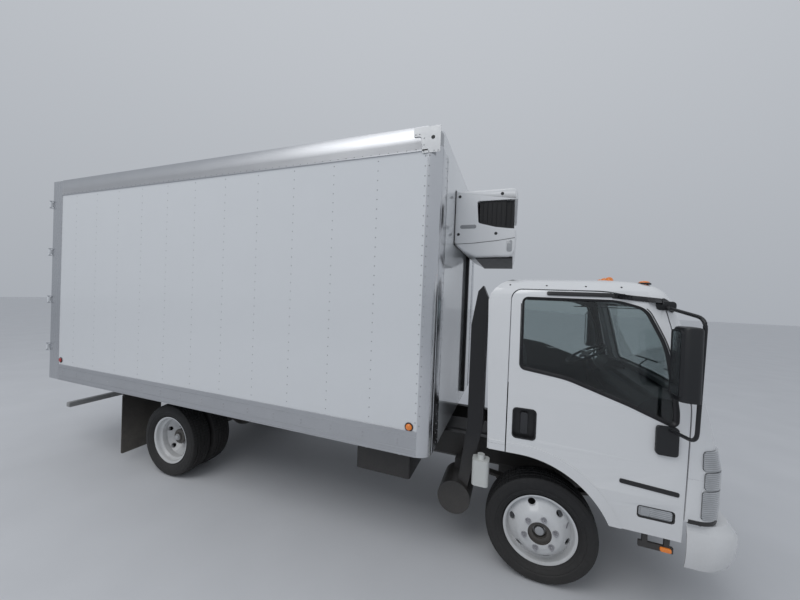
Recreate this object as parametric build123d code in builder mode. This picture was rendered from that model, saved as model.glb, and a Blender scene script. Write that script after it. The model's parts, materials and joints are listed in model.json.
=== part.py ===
from build123d import *
import os
from math import cos, pi, sin

os.makedirs("parts", exist_ok=True)

# Refrigerated box truck with a low tilting cab over its front axle.
# Sizes are millimetres. Lengths count forward from the front axle, heights up from the ground,
# and widths out from the centre line. The origin is on the ground midway along the truck.

# Running gear
wheelbase = 3810
front_track = 1650
rear_track = 1650
tyre_radius = 398
tyre_width = 226
rim_radius = 247.6
rim_half_width = 80
rim_wall = 8
disc_offset = 127
disc_thickness = 12
centre_bore = 82
stud_circle = 222.25
stud_count = 6
stud_hole = 11
hand_hole_count = 6
hand_hole_circle = 198
spindle_radius = 30
stub_radius = 40
shaft_gap = 0.05
kingpin_out = 690
kingpin_radius = 20
beam_radius = 45
kingpin_play = 1

# Frame
frame_width = 851
rail_height = 216
rail_flange = 65
rail_wall = 8
frame_top = 813
frame_front = 900
rear_overhang = 1095
crossmember_depth = 120

# Cab
cab_half_width = 1000
cab_sill = 605
cab_top = 2296
cab_corner = 150
cab_bow = 50
arch_line = 980
waist_seam = 1030
roof_seam = 2130
arch_front = 430
flare_proud = 8
flare_width = 74
cabin_floor = 1030
floor_thickness = 45
cab_wall = 60
door_gap = 8
door_rear = -265
door_front = 836
door_top = 2204
belt_line = 1502
window_top = 2148
glass_inset = 20
glass_thickness = 6
screen_sill = 1500
screen_top = 2120
screen_low = 830
screen_high = 770
rear_window_width = 1100
rear_window_height = 420
rear_window_middle = 1850
pivot_x = 1010
pivot_z = 780
pivot_radius = 15
pivot_ear = 30
pivot_ear_gap = 20
panel_bottom = 750
bay_front = 1040
bay_rear = -500
bay_width = 1200
wheel_bay = 500
step_thickness = 50
step_middle = 665
step_length = 270
step_depth = 300
cover_front = 450
cover_width = 640
cover_height = 110
cover_wall = 40
panel_thickness = 30
panel_low = 800
panel_high = 1380
panel_half = 700
panel_round = 60
panel_gap = 6
grille_rows = 4
grille_low = 900
grille_pitch = 85
grille_width = 1060
grille_taper = 40
grille_slot = 46
lamp_front = 1250
lamp_inner = 760
lamp_round = 22
lamp_gap = 2
# bottom, top, rear edge
corner_lamps = [(782, 966, 910), (974, 1086, 918), (1094, 1216, 906)]
handle_depth = 32
handle_middle = -142
handle_height = 1210
handle_width = 150
handle_length = 212
door_lamp_depth = 26
door_lamp_middle = 678
door_lamp_height = 753
door_lamp_width = 206
door_lamp_tall = 84
tube_x = 785
tube_out = 1225
tube_radius = 11
tube_low = 1395
tube_high = 2052
tube_bend = 60
mirror_bottom = 1570
mirror_height = 430
mirror_depth = 105
mirror_width = 150
mirror_shift = 28
mirror_round = 20
seat_out = 560
seat_front = 270
seat_depth = 500
seat_width = 440
seat_base = 1150
seat_top = 1830
cushion_height = 130
dash_rear = 600
dash_bottom = 1180
dash_top = 1480
dash_half = 820
steer_x = 520
steer_out = 450
steer_z = 1560
steer_radius = 205
steer_grip = 14
column_length = 220
column_radius = 30
spoke_half = 6
roof_lamp_outs = (-700, -150, 0, 150, 700)
roof_lamp_x = 580
roof_lamp_radius = 38
roof_lamp_height = 14

# Front bumper
bumper_reach = 1245
bumper_half_width = 985
bumper_bottom = 441
bumper_crease = 662
bumper_top = 735
bumper_wall = 8
bumper_rear = 850
bumper_corner = 190
bumper_bow = 70
bumper_cab_gap = 15
bumper_cheek = 34
bumper_lamp_out = 640
bumper_lamp_width = 230
bumper_lamp_height = 90
bumper_lamp_round = 20
bumper_lamp_set_back = 4
bumper_lamp_middle = 560

# Box body
box_front = -800
box_rear = -5789
box_half_width = 1219
box_bottom = 902
box_roof = 3387
rail_top = 1095
side_wall = 76
front_wall = 100
roof_thickness = 90
floor_top = 1130
sleeper_top = 962
sleeper_count = 12
sleeper_pitch = 395
sleeper_start = 60
sleeper_width = 45
corner_radius = 98
cap_flange = 3
cap_overlap = 50
cap_height = 130
cap_round = 40
top_rail = 180
skin = 4
roof_lip = 60
rail_ribs = (906, 948, 1048, 1089)
rail_rib_proud = 4
rail_rib_height = 10

# Rear frame and cargo doors
rear_post = 70
rear_depth = 189
header_height = 120
sill_top = 1095
door_thickness = 80
rear_door_gap = 8
leaf_recess = 15
leaf_meeting = 12
hinge_heights = (1300, 1900, 2500, 3100)
hinge_back = 22
hinge_out = 16
hinge_radius = 12
hinge_pin = 7
hinge_half = 30
hinge_gap = 10
lug_thickness = 8
strap_length = 230
strap_stand = 14
strap_thickness = 8
lock_bar_outs = (250, 700)
bar_radius = 13
bar_stand = 18
bracket_heights = (1400, 1800, 2300, 2800, 3180)
bracket_size = 60
handle_bar = 10
handle_bar_width = 34
handle_bar_height = 1600
handle_reach = 210
keeper_width = 14
keeper_height = 50
keeper_inset = 40
keeper_depth = 28

# Cooling unit
unit_half_width = 950
unit_top = 2976
unit_bottom = 2486
unit_front = -243
unit_rear = -717
unit_round = 26
bay_top = 2882
jaw_top = 2648
window_rear = -555
core_front = -330
core_rear = -525
core_low = 2728
core_high = 2878
core_inset = 14
slat_count = 45
slat_pitch = 38
slat_depth = 46
slat_width = 5
plate_low = 2440
foot_front = -262
foot_rear = -542
foot_half = 900
foot_bottom = 2388
evaporator_width = 1200
evaporator_depth = 600
evaporator_height = 297

# Rear gear
flap_x = -4560
flap_out = 870
flap_width = 440
flap_top = 820
flap_bottom = 110
flap_thickness = 8
flap_bracket = 30
flap_overlap = 20
underrun_height = 535
underrun_tube = 60
underrun_width = 2200
underrun_leg = 80
underrun_gap = 5
tail_lamp_out = 1000
tail_lamp_width = 260
tail_lamp_height = 90
tail_lamp_proud = 14

axle_x = (-box_rear + hinge_back + hinge_radius - bumper_reach) / 2
wheel_z = tyre_radius
rear_x = -wheelbase
frame_rear = rear_x - rear_overhang
rail_bottom = frame_top - rail_height
frame_half = frame_width / 2
cover_top = cabin_floor - floor_thickness + cover_height


def side(out):
    """Upright plane along the truck: x forward, y up, facing out to the right."""
    return Plane(origin=(axle_x, -out, 0), x_dir=(1, 0, 0), z_dir=(0, -1, 0))


def across(x):
    """Upright plane across the truck: x out to the right, y up, facing back."""
    return Plane(origin=(axle_x + x, 0, 0), x_dir=(0, -1, 0), z_dir=(-1, 0, 0))


def level(z):
    """Flat plane: x forward, y to the left, facing up."""
    return Plane(origin=(axle_x, 0, z), x_dir=(1, 0, 0), z_dir=(0, 0, 1))


def save(part, name):
    """Label a finished piece and write it to its own file."""
    part.label = name
    export_step(part, f"parts/{name}.step")


def save_pair(part, stem):
    """Write a right-hand piece and its mirror image on the left."""
    save(part, f"{stem}_right")
    with BuildPart() as twin:
        mirror(part, about=Plane.XZ)
    save(twin.part, f"{stem}_left")


# Wheels. Profiles run outboard along the axle and up from its centre.

def hub_plane(x, out):
    """Plane through an axle at the distance out: x outboard, y up from the wheel's centre."""
    return Plane(origin=(axle_x + x, -out, wheel_z), x_dir=(0, -1, 0), z_dir=(-1, 0, 0))


def wheel_face(x, out):
    """Plane across a wheel at the distance out, facing outboard."""
    return Plane(origin=(axle_x + x, -out, wheel_z), x_dir=(1, 0, 0), z_dir=(0, -1, 0))


def axle_line(x):
    return Axis((axle_x + x, 0, wheel_z), (0, -1, 0))


flange_tip = rim_radius + 11
well_radius = rim_radius - 26
# along the axle, radius: outside of the rim barrel from the inner flange to the outer
barrel = [(-rim_half_width - 8, flange_tip), (-rim_half_width, rim_radius), (-44, rim_radius - 7),
          (-26, well_radius), (26, well_radius), (44, rim_radius - 7),
          (rim_half_width, rim_radius), (rim_half_width + 8, flange_tip)]
# along the axle, radius: outer face of the disc from its bore to the barrel
disc_face = [(disc_offset, centre_bore), (disc_offset, 138), (disc_offset - 11, 158), (36, well_radius + 4)]


def rim_and_disc(x, centre, outward):
    """One wheel: the barrel and its dished disc, which bulges outboard for 1 and inboard for -1."""
    with BuildPart() as wheel:
        with BuildSketch(hub_plane(x, centre)):
            with BuildLine():
                inner = [(u, r - rim_wall) for u, r in reversed(barrel)]
                Polyline(*barrel, *inner, close=True)
            make_face()
            with BuildLine():
                outer = [(outward * u, r) for u, r in disc_face]
                back = [(outward * (u - disc_thickness), r - 6 * (n > 1))
                        for n, (u, r) in enumerate(disc_face)]
                Polyline(*outer, *reversed(back), close=True)
            make_face()
        revolve(axis=axle_line(x))
        with BuildSketch(wheel_face(x, centre + outward * 30)):
            with PolarLocations(hand_hole_circle, hand_hole_count, start_angle=17 + 30):
                Ellipse(18, 28)
        extrude(amount=outward * disc_offset, mode=Mode.SUBTRACT)
        with BuildSketch(wheel_face(x, centre + outward * (disc_offset - 2 * disc_thickness))):
            with PolarLocations(stud_circle / 2, stud_count, start_angle=17):
                Circle(stud_hole)
        extrude(amount=outward * 3 * disc_thickness, mode=Mode.SUBTRACT)
    return wheel.part


def tyre_section(centre):
    """Closed section of one tyre about its centre plane."""
    half = tyre_width / 2
    tread = half * 0.84
    bead = rim_half_width - 1
    with BuildSketch() as section:
        with BuildLine():
            start = Line((centre - bead, rim_radius + 0.4), (centre - bead, rim_radius + 13))
            wall = ThreePointArc(start @ 1, (centre - half, rim_radius + 72), (centre - tread, tyre_radius - 9))
            crown = ThreePointArc(wall @ 1, (centre, tyre_radius), (centre + tread, tyre_radius - 9))
            far = ThreePointArc(crown @ 1, (centre + half, rim_radius + 72), (centre + bead, rim_radius + 13))
            end = Line(far @ 1, (centre + bead, rim_radius + 0.4))
            Line(end @ 1, start @ 0)
        make_face()
    return section.sketch


# Front wheel and its hub
front_out = front_track / 2
hub_face = disc_offset - disc_thickness
with BuildPart() as front_rim:
    add(rim_and_disc(0, front_out, 1))
    with BuildSketch(hub_plane(0, front_out)):
        with BuildLine():
            Polyline((20, spindle_radius + shaft_gap), (20, centre_bore - 4), (hub_face - 17, centre_bore - 4),
                     (hub_face - 17, stud_circle / 2 - 6), (hub_face, stud_circle / 2 - 6),
                     (hub_face, centre_bore), (hub_face - 7, centre_bore), (hub_face - 7, 50),
                     (hub_face - 37, 50), (hub_face - 37, 0), (hub_face - 47, 0),
                     (hub_face - 47, spindle_radius + shaft_gap), close=True)
        make_face()
    revolve(axis=axle_line(0))
save_pair(front_rim.part, "front_rim")

with BuildPart() as front_tyre:
    with BuildSketch(hub_plane(0, front_out)):
        add(tyre_section(0))
    revolve(axis=axle_line(0))
save_pair(front_tyre.part, "front_tyre")

# Rear twin wheels: the discs meet back to back on the hub flange
rear_out = rear_track / 2
with BuildPart() as rear_rims:
    add(rim_and_disc(rear_x, rear_out - disc_offset, 1))
    add(rim_and_disc(rear_x, rear_out + disc_offset, -1))
    with BuildSketch(hub_plane(rear_x, rear_out)):
        with BuildLine():
            Polyline((-110, stub_radius + shaft_gap), (-110, centre_bore), (-disc_thickness - 14, centre_bore),
                     (-disc_thickness - 14, stud_circle / 2 - 6), (-disc_thickness, stud_circle / 2 - 6),
                     (-disc_thickness, centre_bore), (105, centre_bore), (112, centre_bore - 8),
                     (112, 50), (126, 46), (126, 0), (60, 0), (60, stub_radius + shaft_gap), close=True)
        make_face()
    revolve(axis=axle_line(rear_x))
save_pair(rear_rims.part, "rear_rims")

with BuildPart() as rear_tyres:
    with BuildSketch(hub_plane(rear_x, rear_out)):
        add(tyre_section(-disc_offset))
        add(tyre_section(disc_offset))
    revolve(axis=axle_line(rear_x))
save_pair(rear_tyres.part, "rear_tyres")

# Steering knuckle: a fork over the beam's end, its kingpin and the wheel spindle
fork_half = 36
ear_height = 26
with BuildPart() as knuckle:
    with BuildSketch(Plane(origin=(axle_x, -kingpin_out, wheel_z), z_dir=(0, 0, 1))):
        Circle(kingpin_radius)
    extrude(amount=beam_radius + kingpin_play + ear_height, both=True)
    for lift in (beam_radius + kingpin_play, -beam_radius - kingpin_play - ear_height):
        with BuildSketch(Plane(origin=(axle_x, -kingpin_out, wheel_z + lift), z_dir=(0, 0, 1))):
            Circle(fork_half)
            with Locations((0, -fork_half)):
                Rectangle(2 * fork_half, 2 * fork_half)
        extrude(amount=ear_height)
    web_out = kingpin_out + fork_half + 10
    with BuildSketch(wheel_face(0, web_out)):
        Circle(beam_radius + kingpin_play + ear_height)
    extrude(amount=22)
    with BuildSketch(wheel_face(0, web_out + 22)):
        Circle(spindle_radius)
    extrude(amount=front_out + hub_face - 50 - web_out - 22)
    with BuildSketch(wheel_face(0, web_out + 4)):
        Circle(158)
        Circle(60, mode=Mode.SUBTRACT)
    extrude(amount=10)
save_pair(knuckle.part, "knuckle")

# Front axle: drop-centre I-beam with an eye at each end and pads under the springs
spring_out = frame_half - 38
pad_top = wheel_z + beam_radius
with BuildPart() as front_axle:
    with BuildSketch(across(0)):
        with BuildLine():
            Polyline((0, wheel_z - 100), (spring_out + 60, wheel_z - 100), (kingpin_out - 70, wheel_z - 38),
                     (kingpin_out, wheel_z - 38), (kingpin_out, wheel_z + 38), (kingpin_out - 90, wheel_z + 38),
                     (spring_out + 50, wheel_z - 10), (0, wheel_z - 10), close=True)
        make_face()
        mirror(about=Plane.YZ)
    extrude(amount=35, both=True)
    with BuildSketch(Plane(origin=(axle_x, 0, wheel_z), z_dir=(0, 0, 1))):
        with Locations((0, kingpin_out), (0, -kingpin_out)):
            Circle(fork_half)
    extrude(amount=beam_radius, both=True)
    with BuildSketch(Plane(origin=(axle_x, 0, wheel_z), z_dir=(0, 0, 1))):
        with Locations((0, kingpin_out), (0, -kingpin_out)):
            Circle(kingpin_radius + shaft_gap)
    extrude(amount=beam_radius + 1, both=True, mode=Mode.SUBTRACT)
    with BuildSketch(level(wheel_z - 10)):
        with Locations((0, spring_out), (0, -spring_out)):
            Rectangle(130, 80)
    extrude(amount=30)
save(front_axle.part, "front_axle")

# Rear axle: housing with its round centre and a stub for each twin wheel
with BuildPart() as rear_axle:
    with BuildSketch(wheel_face(rear_x, 0)):
        Circle(62)
    extrude(amount=rear_out - 125, both=True)
    with BuildSketch(wheel_face(rear_x, 0)):
        Circle(stub_radius)
    extrude(amount=rear_out + 55, both=True)
    with BuildSketch(hub_plane(rear_x, 0)):
        with BuildLine():
            arch = ThreePointArc((-150, 60), (0, 190), (150, 60))
            Polyline(arch @ 1, (150, 0), (-150, 0), arch @ 0)
        make_face()
    revolve(axis=axle_line(rear_x))
    with BuildSketch(across(rear_x + 150)):
        with Locations((0, wheel_z)):
            Circle(90)
    extrude(amount=-110)
    for hand in (1, -1):
        with BuildSketch(wheel_face(rear_x, hand * (rear_out - 150))):
            Circle(160)
        extrude(amount=hand * 24)
        with BuildSketch(Plane(origin=(axle_x + rear_x, hand * spring_out, wheel_z), z_dir=(0, 0, 1))):
            Rectangle(130, 80)
        extrude(amount=75)
save(rear_axle.part, "rear_axle")

# Leaf springs: three leaves bowed between eyes on hangers under the rails
# name, axle, half span, seat height, camber
spring_table = [("front", 0, 560, wheel_z + 20, 60), ("rear", rear_x, 620, wheel_z + 75, 45)]
leaf = 12
eye_bolt = 9
spring_width = 70
with BuildPart() as leaf_springs:
    for name, centre, half_span, seat, camber in spring_table:
        for hand in (1, -1):
            for n in range(4):
                reach = half_span * (1 - 0.2 * n)
                drop = camber * (1 - 0.2 * n) ** 2
                base = seat + leaf * (3 - n)
                with BuildSketch(side(hand * spring_out)):
                    with BuildLine():
                        low = ThreePointArc((centre - reach, base + drop), (centre, base), (centre + reach, base + drop))
                        up = Line(low @ 1, (centre + reach, base + drop + leaf))
                        high = ThreePointArc(up @ 1, (centre, base + leaf), (centre - reach, base + drop + leaf))
                        Line(high @ 1, low @ 0)
                    make_face()
                extrude(amount=spring_width / 2, both=True)
            for end in (-1, 1):
                with BuildSketch(side(hand * spring_out)):
                    with Locations((centre + end * half_span, seat + 3 * leaf + camber + leaf / 2)):
                        Circle(24)
                extrude(amount=spring_width / 2 + 1, both=True, mode=Mode.SUBTRACT)
                with BuildSketch(side(hand * spring_out)):
                    with Locations((centre + end * half_span, seat + 3 * leaf + camber + leaf / 2)):
                        Circle(24)
                        Circle(eye_bolt + shaft_gap, mode=Mode.SUBTRACT)
                extrude(amount=spring_width / 2, both=True)
save(leaf_springs.part, "leaf_springs")

# Frame: two channel rails, crossmembers, spring hangers and the brackets of the cab pivot
crossmembers = [frame_front - 60, -1350, -2500, rear_x + 760, rear_x - 760, frame_rear + 60]
with BuildPart() as frame:
    for hand in (1, -1):
        with BuildSketch(across(frame_front)):
            with Locations((hand * (frame_half - rail_flange / 2), frame_top - rail_height / 2)):
                Rectangle(rail_flange, rail_height)
            with Locations((hand * (frame_half - rail_flange / 2 - rail_wall), frame_top - rail_height / 2)):
                Rectangle(rail_flange, rail_height - 2 * rail_wall, mode=Mode.SUBTRACT)
        extrude(amount=frame_front - frame_rear)
    for x in crossmembers:
        with BuildSketch(across(x + 30)):
            with Locations((0, frame_top - rail_height / 2)):
                Rectangle(frame_width - 2 * rail_wall, crossmember_depth)
        extrude(amount=60)
    for name, centre, half_span, seat, camber in spring_table:
        eye = seat + 3 * leaf + camber + leaf / 2
        for hand in (1, -1):
            for end in (-1, 1):
                with BuildSketch(side(hand * frame_half)):
                    with Locations((centre + end * half_span, (eye + rail_bottom) / 2)):
                        Rectangle(70, rail_bottom - eye + 60)
                extrude(amount=hand * 10)
                with BuildSketch(side(hand * frame_half)):
                    with Locations((centre + end * half_span, eye)):
                        Circle(eye_bolt)
                extrude(amount=-hand * (frame_half - spring_out + spring_width / 2))
    for hand in (1, -1):
        with BuildSketch(side(hand * (frame_half - 40))):
            with Locations((pivot_x, pivot_z)):
                Circle(pivot_radius + 8)
            with Locations((frame_front - 80, frame_top - 65)):
                Rectangle(80, 110)
            make_hull()
        extrude(amount=hand * 28)
        with BuildSketch(side(hand * (frame_half - 20))):
            with Locations((pivot_x, pivot_z)):
                Circle(pivot_radius)
        extrude(amount=hand * 90)
save(frame.part, "frame")

# Engine and gearbox as one plain block, and the shaft to the rear axle
engine_front = 400
engine_rear = -320
gearbox_rear = -1300
with BuildPart() as engine:
    with BuildSketch(level(420)):
        with Locations(((engine_front + engine_rear) / 2, 0)):
            Rectangle(engine_front - engine_rear, 520)
    extrude(amount=600)
    with BuildSketch(across(engine_rear)):
        with Locations((0, 600)):
            Rectangle(320, 300)
    extrude(amount=engine_rear - gearbox_rear)
save(engine.part, "engine")

shaft_radius = 45
shaft_front = (gearbox_rear - 3, 600)
shaft_rear = (rear_x + 262, wheel_z + 10)
with BuildPart() as drive_shaft:
    run_x = shaft_front[0] - shaft_rear[0]
    run_z = shaft_front[1] - shaft_rear[1]
    along = Vector(-run_x, 0, -run_z)
    with BuildSketch(Plane(origin=(axle_x + shaft_front[0] - 3, 0, shaft_front[1]), z_dir=along)):
        Circle(shaft_radius)
    extrude(amount=along.length - 6)
save(drive_shaft.part, "drive_shaft")

# Fuel tank on the left rail and battery box on the right
with BuildPart() as fuel_tank:
    with BuildSketch(across(-1500)):
        with Locations((-(frame_half + 235), 620)):
            RectangleRounded(400, 360, 70)
    extrude(amount=1000)
    for x in (-1750, -2250):
        with BuildSketch(across(x)):
            with Locations((-(frame_half + 20), 640)):
                Rectangle(40, 200)
        extrude(amount=60)
save(fuel_tank.part, "fuel_tank")

with BuildPart() as battery_box:
    with BuildSketch(level(520)):
        with Locations((-1300, -(frame_half + 240))):
            RectangleRounded(520, 440, 25)
    extrude(amount=300)
    with BuildSketch(level(600)):
        with Locations((-1300, -(frame_half + 10))):
            Rectangle(300, 20)
    extrude(amount=160)
save(battery_box.part, "battery_box")

# Exhaust: silencer between the rails behind the gearbox and a tail pipe
with BuildPart() as exhaust:
    with BuildSketch(across(-1700)):
        with Locations((240, 560)):
            Circle(110)
    extrude(amount=700)
    with BuildSketch(across(-2400)):
        with Locations((240, 560)):
            Circle(38)
    extrude(amount=500)
save(exhaust.part, "exhaust")

# Air intake: a round cleaner low behind the wheel and a tall duct up the back of the cab
duct_front = -447
with BuildPart() as air_intake:
    with BuildSketch(side(550)):
        with Locations((-655, 460)):
            Circle(135)
    extrude(amount=330)
    with BuildSketch(across(-600)):
        with Locations(((frame_half + 560) / 2, 640)):
            Rectangle(560 - frame_half, 60)
    extrude(amount=60)
    with BuildSketch(level(560)):
        with Locations((-650, -600)):
            Rectangle(80, 90)
    extrude(amount=110)
    with BuildSketch(side(690)):
        with BuildLine():
            Polyline((-640, 500), (-560, 500), (duct_front, 1060), (duct_front, 2130), (duct_front - 40, 2227),
                     (duct_front - 80, 2180), (duct_front - 125, 1900), (duct_front - 125, 1080), close=True)
        make_face()
    extrude(amount=145)
save(air_intake.part, "air_intake")

with BuildPart() as reservoir:
    with BuildSketch(level(640)):
        with Locations((-445, -895)):
            RectangleRounded(130, 110, 30)
    extrude(amount=200)
    with BuildSketch(level(840)):
        with Locations((-445, -895)):
            Circle(28)
    extrude(amount=35)
save(reservoir.part, "reservoir")

# Outlines seen from above, shared by the bumper and the cab


def plan_outline(rear, front, half, corner, bow):
    """Closed outline seen from above: straight sides, round front corners and a bowed front."""
    turn = front - bow - corner
    round_x = turn + corner * sin(pi / 4)
    round_y = half - corner * (1 - cos(pi / 4))
    with BuildSketch() as plan:
        with BuildLine():
            right = Line((rear, -half), (turn, -half))
            near = ThreePointArc(right @ 1, (round_x, -round_y), (turn + corner, corner - half))
            nose = ThreePointArc(near @ 1, (front, 0), (turn + corner, half - corner))
            far = ThreePointArc(nose @ 1, (round_x, round_y), (turn, half))
            left = Line(far @ 1, (rear, half))
            Line(left @ 1, right @ 0)
        make_face()
    return plan.sketch


# height, rear, front, half width less the cab's widest
cab_sections = [
    (cab_sill, -394, 1085, -12),
    (850, -396, 1094, -4),
    (1080, -398, 1095, 0),
    (1250, -403, 1064, 1),
    (1420, -409, 1023, 0),
    (1600, -416, 977, -8),
    (1800, -424, 926, -23),
    (2000, -431, 874, -46),
    (2110, -435, 844, -63),
    (2165, -420, 824, -76),
    (2210, -386, 798, -96),
    (2245, -350, 762, -128),
    (2268, -312, 716, -168),
    (2284, -262, 654, -222),
    (cab_top, -190, 575, -310),
]


def cab_hull(inset):
    """The cab's outer form brought in by inset all round, down from the roof to the sill."""
    with BuildPart() as hull:
        for z, rear, front, narrow in cab_sections:
            lowered = z - inset * (z - cab_sill) / (cab_top - cab_sill)
            with BuildSketch(level(lowered)):
                add(plan_outline(rear + inset, front - inset, cab_half_width + narrow - inset,
                                 cab_corner - inset, cab_bow))
        loft(ruled=True)
    return hull.part


cab_outer = cab_hull(0)
cab_inner = cab_hull(cab_wall)
glass_outer = cab_hull(glass_inset)
glass_inner = cab_hull(glass_inset + glass_thickness)
cab_proud = cab_hull(-flare_proud)
panel_back = cab_hull(panel_thickness)
seat_back = cab_hull(panel_thickness + panel_gap)
sill_outer = cab_hull(cab_wall + door_gap)
far_out = 2 * cab_half_width
cover_rear = cab_sections[1][1] + cab_wall

# Front bumper: a thin shell, open behind and below, cut away round the cab's lower corners
bumper_lamp_reach = 2 * bumper_bow
# height, set back from the front, set in from the side
bumper_sections = [
    (bumper_bottom, 62, 20),
    (bumper_bottom + 40, 28, 8),
    (bumper_bottom + 110, 6, 0),
    (bumper_crease, 0, 0),
    (bumper_crease + 25, 16, 10),
    (bumper_top, 48, 22),
]
with BuildPart() as bumper:
    for z, back, narrow in bumper_sections:
        with BuildSketch(level(z)):
            add(plan_outline(bumper_rear, bumper_reach - back, bumper_half_width - narrow,
                             bumper_corner, bumper_bow))
    loft(ruled=True)
    for z, back, narrow in bumper_sections:
        lowered = z - bumper_wall
        with BuildSketch(level(lowered)):
            add(plan_outline(bumper_rear - bumper_wall, bumper_reach - back - bumper_wall,
                             bumper_half_width - narrow - bumper_wall, bumper_corner - bumper_wall, bumper_bow))
    loft(ruled=True, mode=Mode.SUBTRACT)
    with BuildSketch(level(bumper_crease)):
        add(plan_outline(bumper_rear - bumper_wall, cab_sections[1][2] + bumper_cab_gap,
                         cab_half_width - bumper_cheek, cab_corner, cab_bow))
    extrude(amount=bumper_top, mode=Mode.SUBTRACT)
    with BuildSketch(across(bumper_reach + bumper_wall)):
        for out in (-bumper_lamp_out, bumper_lamp_out):
            with Locations((out, bumper_lamp_middle)):
                RectangleRounded(bumper_lamp_width, bumper_lamp_height, bumper_lamp_round)
    extrude(amount=bumper_lamp_reach, mode=Mode.SUBTRACT)
    for hand in (1, -1):
        with BuildSketch(across(bumper_reach - bumper_wall - 12)):
            with Locations((hand * (frame_half - 20), bumper_crease - 50)):
                Rectangle(40, 60)
        extrude(amount=bumper_reach - bumper_wall - 12 - frame_front)
save(bumper.part, "front_bumper")

# Fog lamps, set a little back in the bumper's openings
with BuildPart() as bumper_lamps:
    for z, back, narrow in bumper_sections:
        with BuildSketch(level(z)):
            add(plan_outline(bumper_rear, bumper_reach - back - bumper_lamp_set_back,
                             bumper_half_width - narrow - bumper_lamp_set_back, bumper_corner, bumper_bow))
    loft(ruled=True)
    with BuildSketch(across(bumper_reach)):
        for out in (-bumper_lamp_out, bumper_lamp_out):
            with Locations((out, bumper_lamp_middle)):
                RectangleRounded(bumper_lamp_width, bumper_lamp_height, bumper_lamp_round)
    extrude(amount=bumper_lamp_reach, mode=Mode.INTERSECT)
save(bumper_lamps.part, "bumper_lamps")


def arch_outline(grow):
    """Region under the wheel arch's edge, seen from the side."""
    with BuildSketch() as arch:
        with BuildLine():
            top = Line((-2 * arch_front, arch_line + grow), (-160, arch_line + grow))
            curve = ThreePointArc(top @ 1, (208 + grow * 0.7, 861 + grow * 0.7), (arch_front + grow, cab_sill - 20))
            Polyline(curve @ 1, (arch_front + grow, 0), (-2 * arch_front, 0), top @ 0)
        make_face()
    return arch.sketch


def door_outline(grow):
    """Door leaf seen from the side, before the wheel arch is cut."""
    with BuildSketch() as leaf_outline:
        with BuildLine():
            FilletPolyline((door_rear, cab_sill - 2), (door_rear, door_top), (380, door_top), (696, door_top - 80),
                           (door_front, belt_line), (door_front - 12, cab_sill - 2),
                           radius=(6, 75, 600, 60, 400, 6), close=True)
        make_face()
        offset(amount=grow)
    return leaf_outline.sketch


def window_outline(grow):
    """Side window opening, with its sill falling forward."""
    with BuildSketch() as window:
        with BuildLine():
            FilletPolyline((-190, window_top), (430, window_top - 2), (600, window_top - 53), (715, 1840), (768, 1440),
                           (768, 1335), (500, 1443), (121, 1573), (-185, 1614),
                           radius=(45, 400, 120, 600, 300, 30, 900, 600, 40), close=True)
        make_face()
        offset(amount=grow)
    return window.sketch


def screen_outline():
    """Windscreen opening seen from the front."""
    with BuildSketch() as screen:
        with BuildLine():
            Polyline((-screen_low, screen_sill), (screen_low, screen_sill), (screen_high, screen_top),
                     (-screen_high, screen_top), close=True)
        make_face()
        fillet(screen.vertices(), 60)
    return screen.sketch


def lamp_outline(grow):
    """The three corner lamps seen from the side, one above the other."""
    with BuildSketch() as lamps:
        for low, high, lamp_rear in corner_lamps:
            with Locations(((lamp_rear + lamp_front) / 2, (low + high) / 2)):
                RectangleRounded(lamp_front - lamp_rear + 2 * grow, high - low + 2 * grow, lamp_round)
    return lamps.sketch


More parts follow.
